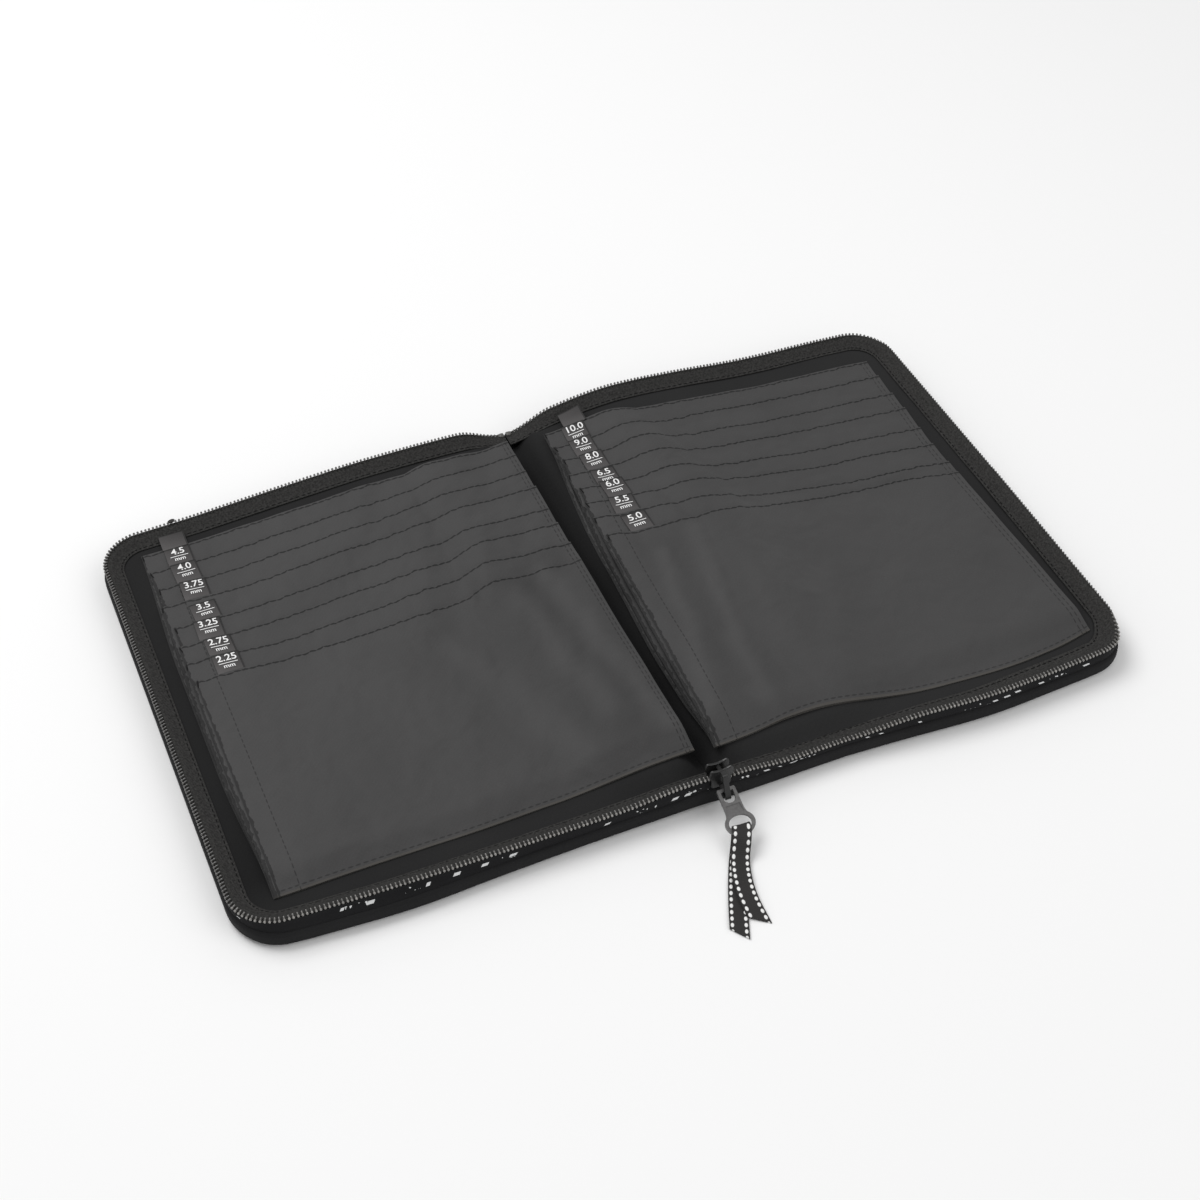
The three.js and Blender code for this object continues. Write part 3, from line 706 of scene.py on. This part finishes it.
# zipper: gusset strip, woven tape with its sewing line, and teeth; a section runs as (inset, height)
stripSet = {
    "GussetStrip": {
        "section": [(1.5, 5.8), (1.25, 6.6), (1.05, 7.6), (1.0, 8.6), (1.05, 9.6), (1.3, 10.2)],
        "wave": 0.25, "thickness": 0.5, "node": "_gusset", "slot": "outer_fabric",
    },
    "ZipperTape": {
        "section": [(7.6, 7.75), (6.9, 7.95), (6.0, 8.3), (5.0, 8.85), (4.0, 9.6), (2.6, 10.5), (1.3, 10.5)],
        "wave": 0.15, "thickness": 0.4, "node": "_zipper_tape", "slot": "zipper_tape",
    },
    "steps": 260, "printStart": {"left": 0, "right": 613},
}
printSet = {"cell": 0.0048, "slant": 0.9, "dashHalf": 0.00042, "crumbLine": 0.0026, "crumbHalf": 0.0007}
toothSet = {
    "pitch": 1.455, "height": 11.1, "tilt": {"front": 6, "left": 20, "right": 76},
    "radius": 0.34, "bar": 1.3, "head": ((0.15, 1.25), (0.35, 1.05), (0.25, 0.5)), "headFrom": -0.7,
    "root": 0.55, "stretch": 0.85, "tall": 1.25, "seat": 0.65, "drop": 1.3, "shake": 0.05,
}


def gussetMaterial():
    # black strip with a sparse print: slanted pale dashes and crumbs, each cell of the strip its own
    material, tree, shader = newMaterial("gussetStrip")
    along, across = flatPlaces(tree)
    slanted = scaled(across, printSet["slant"], along)
    cell = calc("FLOOR", calc("DIVIDE", slanted, printSet["cell"]))
    chance = shaderNode(tree, "TexWhiteNoise", {"noise_dimensions": "1D"}, W=cell)
    dice = shaderNode(tree, "SeparateColor", i0=chance.outputs["Color"]).outputs
    centre = times(calc("ADD", cell, 0.5), printSet["cell"])
    local = minus(slanted, centre)
    reach = scaled(dice[0], 0.0009, 0.0004)
    drop = scaled(dice[1], 0.0008, 0.0020)

    def within(value, middle, half):
        return calc("LESS_THAN", calc("ABSOLUTE", minus(value, middle)), half)

    inLength = calc("LESS_THAN", calc("ABSOLUTE", local), reach)
    inside = times(inLength, within(across, drop, printSet["dashHalf"]))
    dash = times(inside, calc("GREATER_THAN", dice[2], 0.7))
    spread = [times(place, 900.0) for place in (along, across)]
    flow = shaderNode(tree, "CombineXYZ", i0=spread[0], i1=spread[1]).outputs[0]
    crumbs = calc("GREATER_THAN", addNoise(flow, 1.0, 0.0), 0.66)
    groups = lineNoise(times(along, 60.0), 1.0, 0.0)
    crumb = times(crumbs, calc("GREATER_THAN", groups, 0.6))
    onBand = within(across, printSet["crumbLine"], printSet["crumbHalf"])
    mark = calc("MAXIMUM", dash, times(crumb, onBand))
    shade, height = addWeave(tree, 2600.0, 60.0)
    ground = blendColour(shade, (0.006, 0.006, 0.0065, 1), (0.018, 0.018, 0.019, 1))
    clothLook(shader, blendColour(mark, ground, (0.72, 0.73, 0.73, 1)), height, 0.8, 0.12)
    return material


def tapeMaterial():
    material, tree, shader = newMaterial("zipperTapeCloth")
    along, across = flatPlaces(tree)
    speckle = addNoise(objectPlace(tree), 1500.0, 2.0)
    slanted = calc("ADD", along, times(across, 1.6))
    twill = calc("SINE", times(slanted, 7000.0))
    thread = addStitches(along, minus(across, 0.0009), 0.0024, 0.0019, 0.0005)[0]
    share = clamp(times(minus(speckle, 0.32), 2.6))
    ground = blendColour(share, (0.019, 0.0186, 0.018, 1), (0.046, 0.045, 0.0435, 1))
    colour = blendColour(thread, ground, grey(0.004))
    clothLook(shader, colour, scaled(twill, 0.5, speckle), 0.9, 0.15, 0.6, 0.00012)
    return material


def toothMaterial(name, dark, light, roughness):
    # the front row is painted paler, a painted highlight where light falls on the teeth's tops; the noise
    # varies the tone at random
    material, tree, shader = newMaterial(name)
    place = objectPlace(tree)
    wear = addNoise(place, 900.0, 2.0)
    paintedShading = calc("LESS_THAN", splitPlace(place)[1], -0.084)
    share = times(wear, scaled(paintedShading, 0.75, 0.3))
    setInputs(shader, Base_Color=blendColour(share, dark, light), Roughness=roughness)
    setInputs(shader, Coat_Weight=0.6, Coat_Roughness=0.2)
    return material


stripCloth = {"GussetStrip": gussetMaterial(), "ZipperTape": tapeMaterial()}
# the pale ends of both colours show mostly on the front row as its painted highlight, brightest on the heads
toothNylon = toothMaterial("coilBars", (0.025, 0.024, 0.023, 1), (0.16, 0.154, 0.144, 1), 0.32)
headNylon = toothMaterial("coilHeads", (0.03, 0.029, 0.027, 1), (0.42, 0.405, 0.38, 1), 0.2)


def rimStrip(side, kind):
    strip = stripSet[kind]
    section, rows = strip["section"], len(strip["section"]) - 1
    widths = [0]
    for (e0, h0), (e1, h1) in zip(section, section[1:]):
        widths.append(widths[-1] + hypot(e1 - e0, h1 - h0))

    def place(s, t):
        distance = s * rimTotal
        inset, height = section[round(t * rows)]
        drift = strip["wave"] * wander(distance, 0, 3.1 + coverSet[side]["sign"], 18)
        return onRim(side, rimPlace(distance), inset + drift, height)

    def flat(s, t):
        return ((stripSet["printStart"][side] + s * rimTotal) * mm, widths[round(t * rows)] * mm)

    piece = gridPiece(side + kind, stripSet["steps"], rows, place, flat)
    thicken(piece, strip["thickness"], 0)
    smoothDress(piece, 60, stripCloth[kind])
    foldWith(piece)
    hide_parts(side + strip["node"])


def toothTemplate():
    # one loop of the coil: a bar that ends in a round head, lying along y
    bpy.ops.mesh.primitive_cylinder_add(
        vertices=8, radius=toothSet["radius"], depth=toothSet["bar"], rotation=(pi / 2, 0, 0)
    )
    bpy.ops.object.transform_apply(location=False, rotation=True, scale=False)
    tooth = bpy.context.object
    bpy.ops.object.mode_set(mode="EDIT")
    bpy.ops.mesh.select_mode(type="FACE")
    bpy.ops.mesh.select_all(action="DESELECT")
    bm = bmesh.from_edit_mesh(tooth.data)
    for face in bm.faces:
        face.select_set(face.normal.y < -0.9)
    bmesh.update_edit_mesh(tooth.data)
    for step, scale in toothSet["head"]:
        bpy.ops.mesh.extrude_region_move(TRANSFORM_OT_translate={"value": (0, -step, 0)})
        bpy.ops.transform.resize(value=(scale, 1, scale))
    bpy.ops.object.mode_set(mode="OBJECT")
    shape = [v.co.copy() for v in tooth.data.vertices]
    faces = [list(face.vertices) for face in tooth.data.polygons]
    heads = [face.center.y < toothSet["headFrom"] for face in tooth.data.polygons]
    bpy.data.objects.remove(tooth)
    return shape, faces, heads


toothShape, toothFaces, toothHeads = toothTemplate()


def coilTeeth(side):
    count = round(rimTotal / toothSet["pitch"])
    points, faces = [], []
    for k in range(count):
        middle = rimTotal * (k + 0.5) / count
        first = len(points)
        shake = toothSet["shake"] * sin(k * 2.3)
        outU, outY = rimPlace(middle)[2:]
        lean = toothSet["tilt"]["front"] * min(outY, 0) ** 2 + toothSet["tilt"][side] * outU ** 2
        down, flat = sin(radians(lean)), cos(radians(lean))
        for co in toothShape:
            spot = rimPlace(middle + co.x + shake)
            out, up = toothSet["root"] - co.y * toothSet["stretch"], co.z * toothSet["tall"]
            inset = rimSet["centre"] + toothSet["seat"] - toothSet["drop"] * down - out * flat - up * down
            points.append(onRim(side, spot, inset, toothSet["height"] - out * down + up * flat))
        faces += [[first + i for i in face] for face in toothFaces]
    mesh = bpy.data.meshes.new(side + "CoilTeeth")
    mesh.from_pydata(points, [], faces)
    piece = bpy.data.objects.new(side + "CoilTeeth", mesh)
    bpy.context.collection.objects.link(piece)
    tidyMesh(piece, merge=False)
    smoothDress(piece, 60, toothNylon, headNylon)
    for face in piece.data.polygons:
        face.material_index = 1 if toothHeads[face.index % len(toothHeads)] else 0
    foldWith(piece)
    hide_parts(side + "_zipper_coil")


for side in coverSet:
    for kind in stripCloth:
        rimStrip(side, kind)
    coilTeeth(side)
print("zipper rows made")

# end stops at the back, one on each row's last teeth
stopSet = {"size": (2.0, 2.2, 1.6), "fromEnd": 1.1, "height": 11.2, "bevel": 0.5}


def metalMaterial(name, dark, light, roughness, metallic, scratch):
    material, tree, shader = newMaterial(name)
    cloud = addNoise(objectPlace(tree), scratch, 4.0)
    rough = scaled(cloud, 0.25, roughness - 0.12)
    colour = blendColour(cloud, dark, light)
    setInputs(shader, Base_Color=colour, Roughness=rough, Metallic=metallic)
    addBump(shader, cloud, 0.15, 0.00005)
    return material


def endStop(side, material):
    centre = onRim(side, rimPlace(rimTotal - stopSet["fromEnd"]), rimSet["centre"], stopSet["height"])
    bpy.ops.mesh.primitive_cube_add(size=1, location=centre, scale=[size * mm for size in stopSet["size"]])
    stop = bpy.context.object
    stop.name = side + "EndStop"
    bpy.ops.object.transform_apply()
    bpy.ops.object.mode_set(mode="EDIT")
    bpy.ops.mesh.select_all(action="SELECT")
    bpy.ops.mesh.bevel(offset=stopSet["bevel"] * mm, segments=3, affect="EDGES")
    bpy.ops.object.mode_set(mode="OBJECT")
    smoothDress(stop, 60, material)
    foldWith(stop)
    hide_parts(side + "_top_stop")


stopMetal = metalMaterial("darkStopMetal", (0.05, 0.048, 0.045, 1), (0.16, 0.155, 0.145, 1), 0.4, 0.3, 900.0)
for side in coverSet:
    endStop(side, stopMetal)
print("end stops made")


# pockets: stepped sheets of charcoal nylon, each with its hem, side seam and front seam
def pocketMaterial(side):
    fit = pocketSet[side]
    material, tree, shader = newMaterial(side + "PocketNylon")
    across, fromHem = flatPlaces(tree)
    shade, height = addWeave(tree, 3400.0, 26.0)
    sway = lineNoise(across, 260.0, 4.0)
    wobble = times(minus(sway, 0.5), 0.0014)
    hemPlace = minus(calc("ADD", fromHem, wobble), 0.0009)
    rows = addStitches(across, hemPlace, 0.0027, 0.0030, 0.0008)[0]

    def withRow(mask, strength):
        return calc("MAXIMUM", rows, times(mask, strength))

    for place in (fit["seam"], *fit["pair"]):
        fromSeam = minus(across, place * mm)
        rows = withRow(addStitches(fromHem, fromSeam, 0.0026, 0.0022, 0.0005)[0], 0.7)
    fromFront = shaderNode(tree, "Attribute", {"attribute_name": "fromFront"}).outputs["Fac"]
    frontPlace = minus(fromFront, 0.0016)
    rows = withRow(addStitches(across, frontPlace, 0.0026, 0.0021, 0.0006)[0], 0.6)
    rolled = calc("LESS_THAN", fromFront, 0.0007)
    inward = minus(across, fit["inner"] * mm)
    if side == "left":
        inward = minus(fit["end"] * mm, across)
    spots = objectPlace(tree)
    tangle = scaled(addNoise(spots, 420.0, 2.0), 0.0022, -0.0003)
    rows = withRow(calc("LESS_THAN", inward, tangle), 0.85)
    # painted light and shade on the folds: the crests are painted paler and the hollows beside them painted
    # darker
    paintedShading = shaderNode(tree, "Attribute", {"attribute_name": "paintedShading"}).outputs["Fac"]
    share = scaled(paintedShading, 0.6, shade)
    ground = blendColour(share, (0.035, 0.0345, 0.0347, 1), (0.064, 0.063, 0.0632, 1))
    edged = blendColour(times(rolled, 0.3), ground, (0.09, 0.078, 0.062, 1))
    colour = blendColour(times(rows, 0.9), edged, grey(0.008))
    setInputs(shader, Sheen_Weight=0.06, Sheen_Roughness=0.5)
    crumple = addNoise(spots, 60.0, 2.0, 0.2)
    clothLook(shader, colour, scaled(crumple, 70.0, minus(height, rows)), 0.66, 0.22, 0.4)
    return material


# bends of each hem at four places, how the right hems fan out, and the right stack's other edges
hemBends = {
    "left": ((10, 60, 110, 132), [
        (0, 0, 0, 0), (1.5, 0, 0, 0), (0.5, 0, -1, 0), (2.2, 0.5, -0.8, 0),
        (2.4, 0.8, -1, 0), (4.2, 1, -1, 0), (3, 0, -2.4, 0), (3.4, 0, -1.2, 0.6),
    ]),
    "right": ((6, 30, 60, 100), [
        (0, 0, 0, 1), (0, 0, 0, 1), (0.6, 0.6, -0.8, -0.3), (0.6, 0.8, -0.8, -0.5),
        (1, 0, -2, -3.2), (1.8, 0.2, -1.6, -3.2), (2, 0.2, -2.8, -4.6), (0.6, 0, 0, -0.4),
    ]),
}
rightLines = {
    "lowFan": [(4, 0), (40, -5), (90, -6.6), (120, -7.5), (146, -10)],
    "highFan": [(4, 0), (25, -1), (146, -1)],
    "front": [
        (0, 0), (12, 0.8), (28, 2.2), (50, 1.0), (70, -0.8), (85, -2.6), (110, -4.2), (130, -2.8), (145, 0),
    ],
    "outer": [(-86, 0), (-40, -1.6), (17, -3.4), (45, -2.0), (84, 0)],
}


def hemLine(side, index, u):
    # the hems fan out a little, each bent and swaying in its own way
    fit = pocketSet[side]
    if side == "left":
        fan = -0.0085 * max(index - 2, 0) * max(122 - u, 0)
    else:
        fan = mix(profile(rightLines["highFan"], u), profile(rightLines["lowFan"], u), index / topIndex)
    places, bends = hemBends[side]
    bend = profile(list(zip(places, bends[index])), u)
    sway = 0.55 * wander(u, index * 40, 2.2 if side == "left" else 7.7, 30)
    return fit["hems"][index] + fit["turn"] * (u - 70) + fan + bend + sway


def hemJitter(index):
    # no two hems end quite at the same place
    return 0.9 * sin(index * 2.4 + 0.8)


def frontLine(side, u):
    line = pocketSet[side]["front"] + 0.5 * wander(u, 3, 8.8, 30)
    return line + profile(rightLines["front"], u) if side == "right" else line


def onStack(side, index, u, y, height):
    # covered layers sag from the billow and meet again at the front seam
    rise = stackRise(side, u, y)
    if index < topIndex:
        covered = ease(0, 30, hemLine(side, index + 1, u) - y)
        sag = 0.8 * (topIndex - index) / topIndex * covered
        rise *= 1 - sag * ease(2, 26, y - pocketSet[side]["front"])
    rise = max(rise, archRise(side, u, y) + 0.05)
    return Vector((coverSet[side]["sign"] * (caseSet["fold"] + u), y, height + rise)) * mm


def ridgeRise(side, u, y, spread=1):
    # soft folds in the cloth, each along a line from one spot to another
    rise = 0
    u += 3.0 * wander(u, y, 9.3, 20)
    for u0, y0, u1, y1, width, height in pocketSet[side]["ridges"]:
        run = Vector((u1 - u0, y1 - y0))
        share = min(max((Vector((u - u0, y - y0)) @ run) / run.length_squared, 0), 1)
        away = hypot(u - u0 - share * run.x, y - y0 - share * run.y)
        rise += height * exp(-(away / (width * spread)) ** 2)
    return rise


def pocketHeight(side, index, u, y):
    fromSeam = y - pocketSet[side]["front"]
    flatten = mix(0.14, 1, ease(0, 10, fromSeam))
    base = pocketSet["base"] + index * pocketSet["layer"] * flatten
    fromHem = hemLine(side, index, u) - y
    lip = 0.45 * exp(-max(fromHem, 0) / 2.4) * (1 + 0.8 * wander(u, index * 23, 4.4, 17))
    folds = wander(u + 0.3 * y, y * 0.3, 6.4, 15) * mix(0.3, 1.2, ease(95, 25, u))
    folds += wander(u + 0.45 * y, 0.22 * (y - 0.45 * u), 2.9, 7) * mix(0.15, 0.5, ease(80, 20, u))
    swell = folds + 0.3 * wander(u + 0.5 * y, y - 0.3 * u, 11.5, 24) + 0.2 * wander(u, y, 3.5, 50)
    swell += ridgeRise(side, u, y)
    return base + max(lip, 0) + swell * ease(0, 14, fromSeam)


def pocketSheet(side, index, material):
    fit = pocketSet[side]
    under = (topIndex - index) / topIndex
    jitter = hemJitter(index)

    def measure(s, t):
        flatU = u = mix(fit["inner"], fit["end"], s)
        hem, edge = hemLine(side, index, u), frontLine(side, u)
        y = mix(edge, hem, 1 - (1 - t) ** 1.5)
        u += fit["lean"] * y * (1 - s)
        spread = 2.4 * under * ease(2, 55, y - edge) * ease(0, 60, hem - y)
        if side == "left":
            u += (spread + jitter) * ease(0.93, 1, s) - 0.3 * jitter * ease(0.05, 0, s)
        else:
            u -= (spread + jitter) * ease(0.07, 0, s)
            bow = profile(rightLines["outer"], y)
            u += bow * ease(0.6, 1, s) - 1.3 * max(under - 0.55, 0) * ease(0.95, 1, s)
        return u, y, y - edge, hem - y, flatU

    def place(s, t):
        u, y, fromEdge = measure(s, t)[:3]
        turned = 0.3 * ease(1.4, 0, fromEdge)
        return onStack(side, index, u, y, pocketHeight(side, index, u, y) - turned)

    def flat(s, t):
        fromHem, flatU = measure(s, t)[3:]
        return (flatU * mm, fromHem * mm)

    piece = gridPiece(f"{side}Pocket{index + 1}", pocketSet["columns"], pocketSet["rows"], place, flat)
    # painted light and shade for the folds, paler along a ridge's crest and darker on its flanks, stored as a
    # point attribute
    for name in ("fromFront", "paintedShading"):
        piece.data.attributes.new(name, "FLOAT", "POINT")
    fromFront, paintedShading = (piece.data.attributes[name].data for name in ("fromFront", "paintedShading"))
    for vertex in piece.data.vertices:
        u, y = coverSet[side]["sign"] * vertex.co.x / mm - caseSet["fold"], vertex.co.y / mm
        fromFront[vertex.index].value = vertex.co.y - frontLine(side, u) * mm
        paintedShading[vertex.index].value = ridgeRise(side, u, y) - 0.6 * ridgeRise(side, u, y, 2.2)
    if coverSet[side]["sign"] < 0:
        piece.data.flip_normals()
    thicken(piece, pocketSet["thickness"])
    smoothDress(piece, 50, material)
    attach(piece, side + "_cover")
    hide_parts(f"{side}_pocket_{index + 1}")


for side in coverSet:
    nylon = pocketMaterial(side)
    for index in range(pocketSet["count"]):
        pocketSheet(side, index, nylon)
print("pockets sewn")

# thread clumps: bar tacks at the hems' ends, and a knot on the left row's back edge
tackSet = {
    "left": (0.5, 3.4, 0.4), "right": (0.5, 3.4, 0.45), "fromHem": 1.4, "lift": 0.05,
    "knot": (3.0, 1.8, 1.3), "knotTurn": 0.3, "knotAlong": 127, "knotInset": 1.0, "knotHeight": 11.6,
}
tackThread = clothMaterial("tackThread", grey(0.004), grey(0.02), 5200.0, 300.0, 0.9)
knotThread = clothMaterial("knotThread", (0.02, 0.019, 0.018, 1), (0.08, 0.077, 0.074, 1), 5200.0, 600.0, 0.9)


def threadClump(name, size, centre, turn, material):
    bpy.ops.mesh.primitive_uv_sphere_add(segments=10, ring_count=7, radius=0.5)
    clump = bpy.context.object
    clump.name = name
    for vertex in clump.data.vertices:
        lump = 1 + 0.35 * noise.noise(vertex.co * 3.1 + centre * 300)
        x, y, z = (vertex.co[k] * size[k] * lump for k in range(3))
        turned = (x * cos(turn) - y * sin(turn), x * sin(turn) + y * cos(turn), z)
        vertex.co = centre + Vector(turned) * mm
    smoothDress(clump, 60, material)
    return clump


def barTacks(side):
    fit = pocketSet[side]
    clumps = []
    for index in range(pocketSet["count"]):
        jitter = hemJitter(index)
        hemEnd = fit["end"] if side == "left" else fit["inner"]
        row = hemLine(side, index, hemEnd) - tackSet["fromHem"]
        lean = 0 if side == "left" else fit["lean"] * row
        u = hemEnd + lean + (jitter - 0.5 if side == "left" else 0.6 - jitter)
        centre = onStack(side, index, u, row, pocketHeight(side, index, u, row) + tackSet["lift"])
        clumps.append(threadClump("tack", tackSet[side], centre, 0.25 * sin(index * 1.7), tackThread))
    tacks = joinPieces(clumps, side + "BarTacks")
    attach(tacks, side + "_cover")


for side in coverSet:
    barTacks(side)
knotSpot = rimPlace(rimTotal - rimSet["backOverhang"] - tackSet["knotAlong"])
knotPlace = onRim("left", knotSpot, tackSet["knotInset"], tackSet["knotHeight"])
knot = threadClump("threadKnot", tackSet["knot"], knotPlace, tackSet["knotTurn"], knotThread)
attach(knot, "left_cover")
print("bar tacks sewn")

# size labels: grey woven tabs behind the hems, with plain numbers; the first of each side is bare
labelSet = {
    "thickness": 0.25, "cells": 12, "foot": -0.6, "along": 5, "inkLift": 0.17,
    "number": {"size": 4.2, "low": 3.6, "bold": 0.05}, "unit": {"size": 2.7, "low": 7.1, "bold": 0.04},
    "rule": {"low": 4.9, "height": 0.3, "share": 0.7},
    "left": {
        "width": 9.6, "asides": [1.2, 1.2, 0.8, 0.6, -0.1, 1.3, 0, -0.2],
        "tops": [6.6, 9.4, 10.2, 9.8, 9.4, 10.0, 9.1, 9.2],
        "numbers": ["", "4.5", "4.0", "3.75", "3.5", "3.25", "2.75", "2.25"],
    },
    "right": {
        "width": 8.8, "asides": [1.4, -0.2, -0.4, 0, 0.2, 0.8, -0.2, 0.8],
        "tops": [7.0, 9.9, 10.3, 9.8, 9.7, 11.0, 9.7, 9.6],
        "numbers": ["", "10.0", "9.0", "8.0", "6.5", "6.0", "5.5", "5.0"],
    },
}


def labelMaterial():
    # grey satin, paler towards its lower outer corner, with a painted shadow along two of its edges
    material, tree, shader = newMaterial("labelCloth")
    across, up = flatPlaces(tree)
    shade, height = addWeave(tree, 5200.0, 90.0)
    away = scaled(up, 0.65, times(across, 0.35))
    pale = minus(1.0, away)
    share = scaled(pale, 0.8, times(shade, 0.3))
    ground = blendColour(share, (0.02, 0.019, 0.019, 1), (0.092, 0.087, 0.087, 1))
    # painted shadow: a dark margin along the label's top and one side
    rim = calc("MAXIMUM", *(calc("GREATER_THAN", place, 0.94) for place in (across, up)))
    colour = blendColour(times(rim, 0.7), ground, grey(0.008))
    clothLook(shader, colour, height, 0.6, 0.2)
    return material


labelCloth = labelMaterial()
labelInk = clothMaterial("labelInk", grey(0.72), (0.9, 0.9, 0.89, 1), 5200.0, 90.0, 0.7)


def labelSpot(side, index, x, y, lift):
    # x runs in the reading direction from the label's middle, y up from the hem, in millimetres
    fit, label = pocketSet[side], labelSet[side]
    turn = 0.035 * sin(index * 2.7 + (0 if side == "left" else 1.3))
    x *= coverSet[side]["sign"]
    u = fit["label"] + labelSet["along"] + label["asides"][index] + x * cos(turn) - y * sin(turn)
    row = hemLine(side, index, u) + x * sin(turn) + y * cos(turn)
    rise = 0.35 + 0.25 * (1 - y / label["tops"][index])
    if not index:
        climb = ease(1.5, 6.5, y)
        return onStack(side, 0, u, row, liningSet["height"] + 0.45 + rise + climb + lift)
    return onStack(side, index - 1, u, row, pocketHeight(side, index - 1, u, row) + rise + lift)


def labelText(side, index, body, form):
    bpy.ops.object.text_add()
    letters = bpy.context.object.data
    letters.body = body
    letters.size = form["size"]
    letters.offset = form["bold"]
    letters.align_x = "CENTER"
    bpy.ops.object.convert(target="MESH")
    text = bpy.context.object
    foot = labelSet[side]["tops"][index] - form["low"]
    for vertex in text.data.vertices:
        vertex.co = labelSpot(side, index, vertex.co.x, foot + vertex.co.y, labelSet["inkLift"])
    return text


def sizeLabel(side, index):
    name = f"{side}Label{index + 1}"
    label, rule = labelSet[side], labelSet["rule"]
    width, top = label["width"], label["tops"][index]

    def place(s, t):
        return labelSpot(side, index, (s - 0.5) * width, mix(labelSet["foot"], top, t), 0)

    def ruled(s, t):
        x, y = (s - 0.5) * width * rule["share"], top - rule["low"] + rule["height"] * t
        return labelSpot(side, index, x, y, labelSet["inkLift"])

    piece = gridPiece(name, labelSet["cells"], labelSet["cells"], place)
    thicken(piece, labelSet["thickness"])
    smoothDress(piece, 50, labelCloth)
    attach(piece, side + "_cover")
    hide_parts(f"{side}_label_{index + 1}")
    body = label["numbers"][index]
    if not body:
        return
    parts = [labelText(side, index, *line) for line in ((body, labelSet["number"]), ("mm", labelSet["unit"]))]
    ink = joinPieces(parts + [gridPiece("rule", 6, 1, ruled)], name + "Number")
    dress(ink, labelInk)
    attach(ink, side + "_cover")


for side in coverSet:
    for index in range(pocketSet["count"]):
        sizeLabel(side, index)
print("labels sewn")

# slider, bail, pull tab and the chain's closed end keep their CAD shapes and get a finish
metalSet = {
    "slider_body": ("blackEnamel", grey(0.005), grey(0.014), 0.34, 0.0, 700.0),
    "slider_bail": ("blackBail", grey(0.007), grey(0.018), 0.34, 0.0, 700.0),
    "pull_tab": ("gunmetalTab", (0.1, 0.098, 0.098, 1), (0.2, 0.197, 0.195, 1), 0.34, 0.6, 1100.0),
}
for node, finish in metalSet.items():
    dress(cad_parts[node], metalMaterial(*finish))
for node in ("front_chain", "bottom_stop"):
    dress(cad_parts[node], toothNylon)
print("metal pieces finished")

# pale floor and soft studio light; each lamp has a place, a size and a power
stageSet = {
    "floor": 6.0, "sky": 0.55,
    "lamps": {"keyLamp": ((-0.5, 0.6, 1.3), 1.0, 12.0), "fillLamp": ((0.7, -0.9, 1.1), 1.2, 5.0)},
}
pale, shader = newMaterial("paleFloor")[::2]
setInputs(shader, Base_Color=grey(0.9), Roughness=0.9, Specular_IOR_Level=0.1)
bpy.ops.mesh.primitive_plane_add(size=stageSet["floor"])
floor = bpy.context.object
floor.name = "floor"
dress(floor, pale)
for name, (place, size, power) in stageSet["lamps"].items():
    bpy.ops.object.light_add(type="AREA", location=place)
    lamp = bpy.context.object
    lamp.name = name
    lamp.data.shape = "DISK"
    lamp.data.size = size
    lamp.data.energy = power
    lamp.rotation_euler = (-Vector(place)).to_track_quat("-Z", "Y").to_euler()
world = bpy.data.worlds.new("studio")
bpy.context.scene.world = world
world.use_nodes = True
setInputs(world.node_tree.nodes["Background"], Color=(1, 1, 1, 1), Strength=stageSet["sky"])
bpy.context.scene.view_settings.view_transform = "Standard"
print("stage lit")
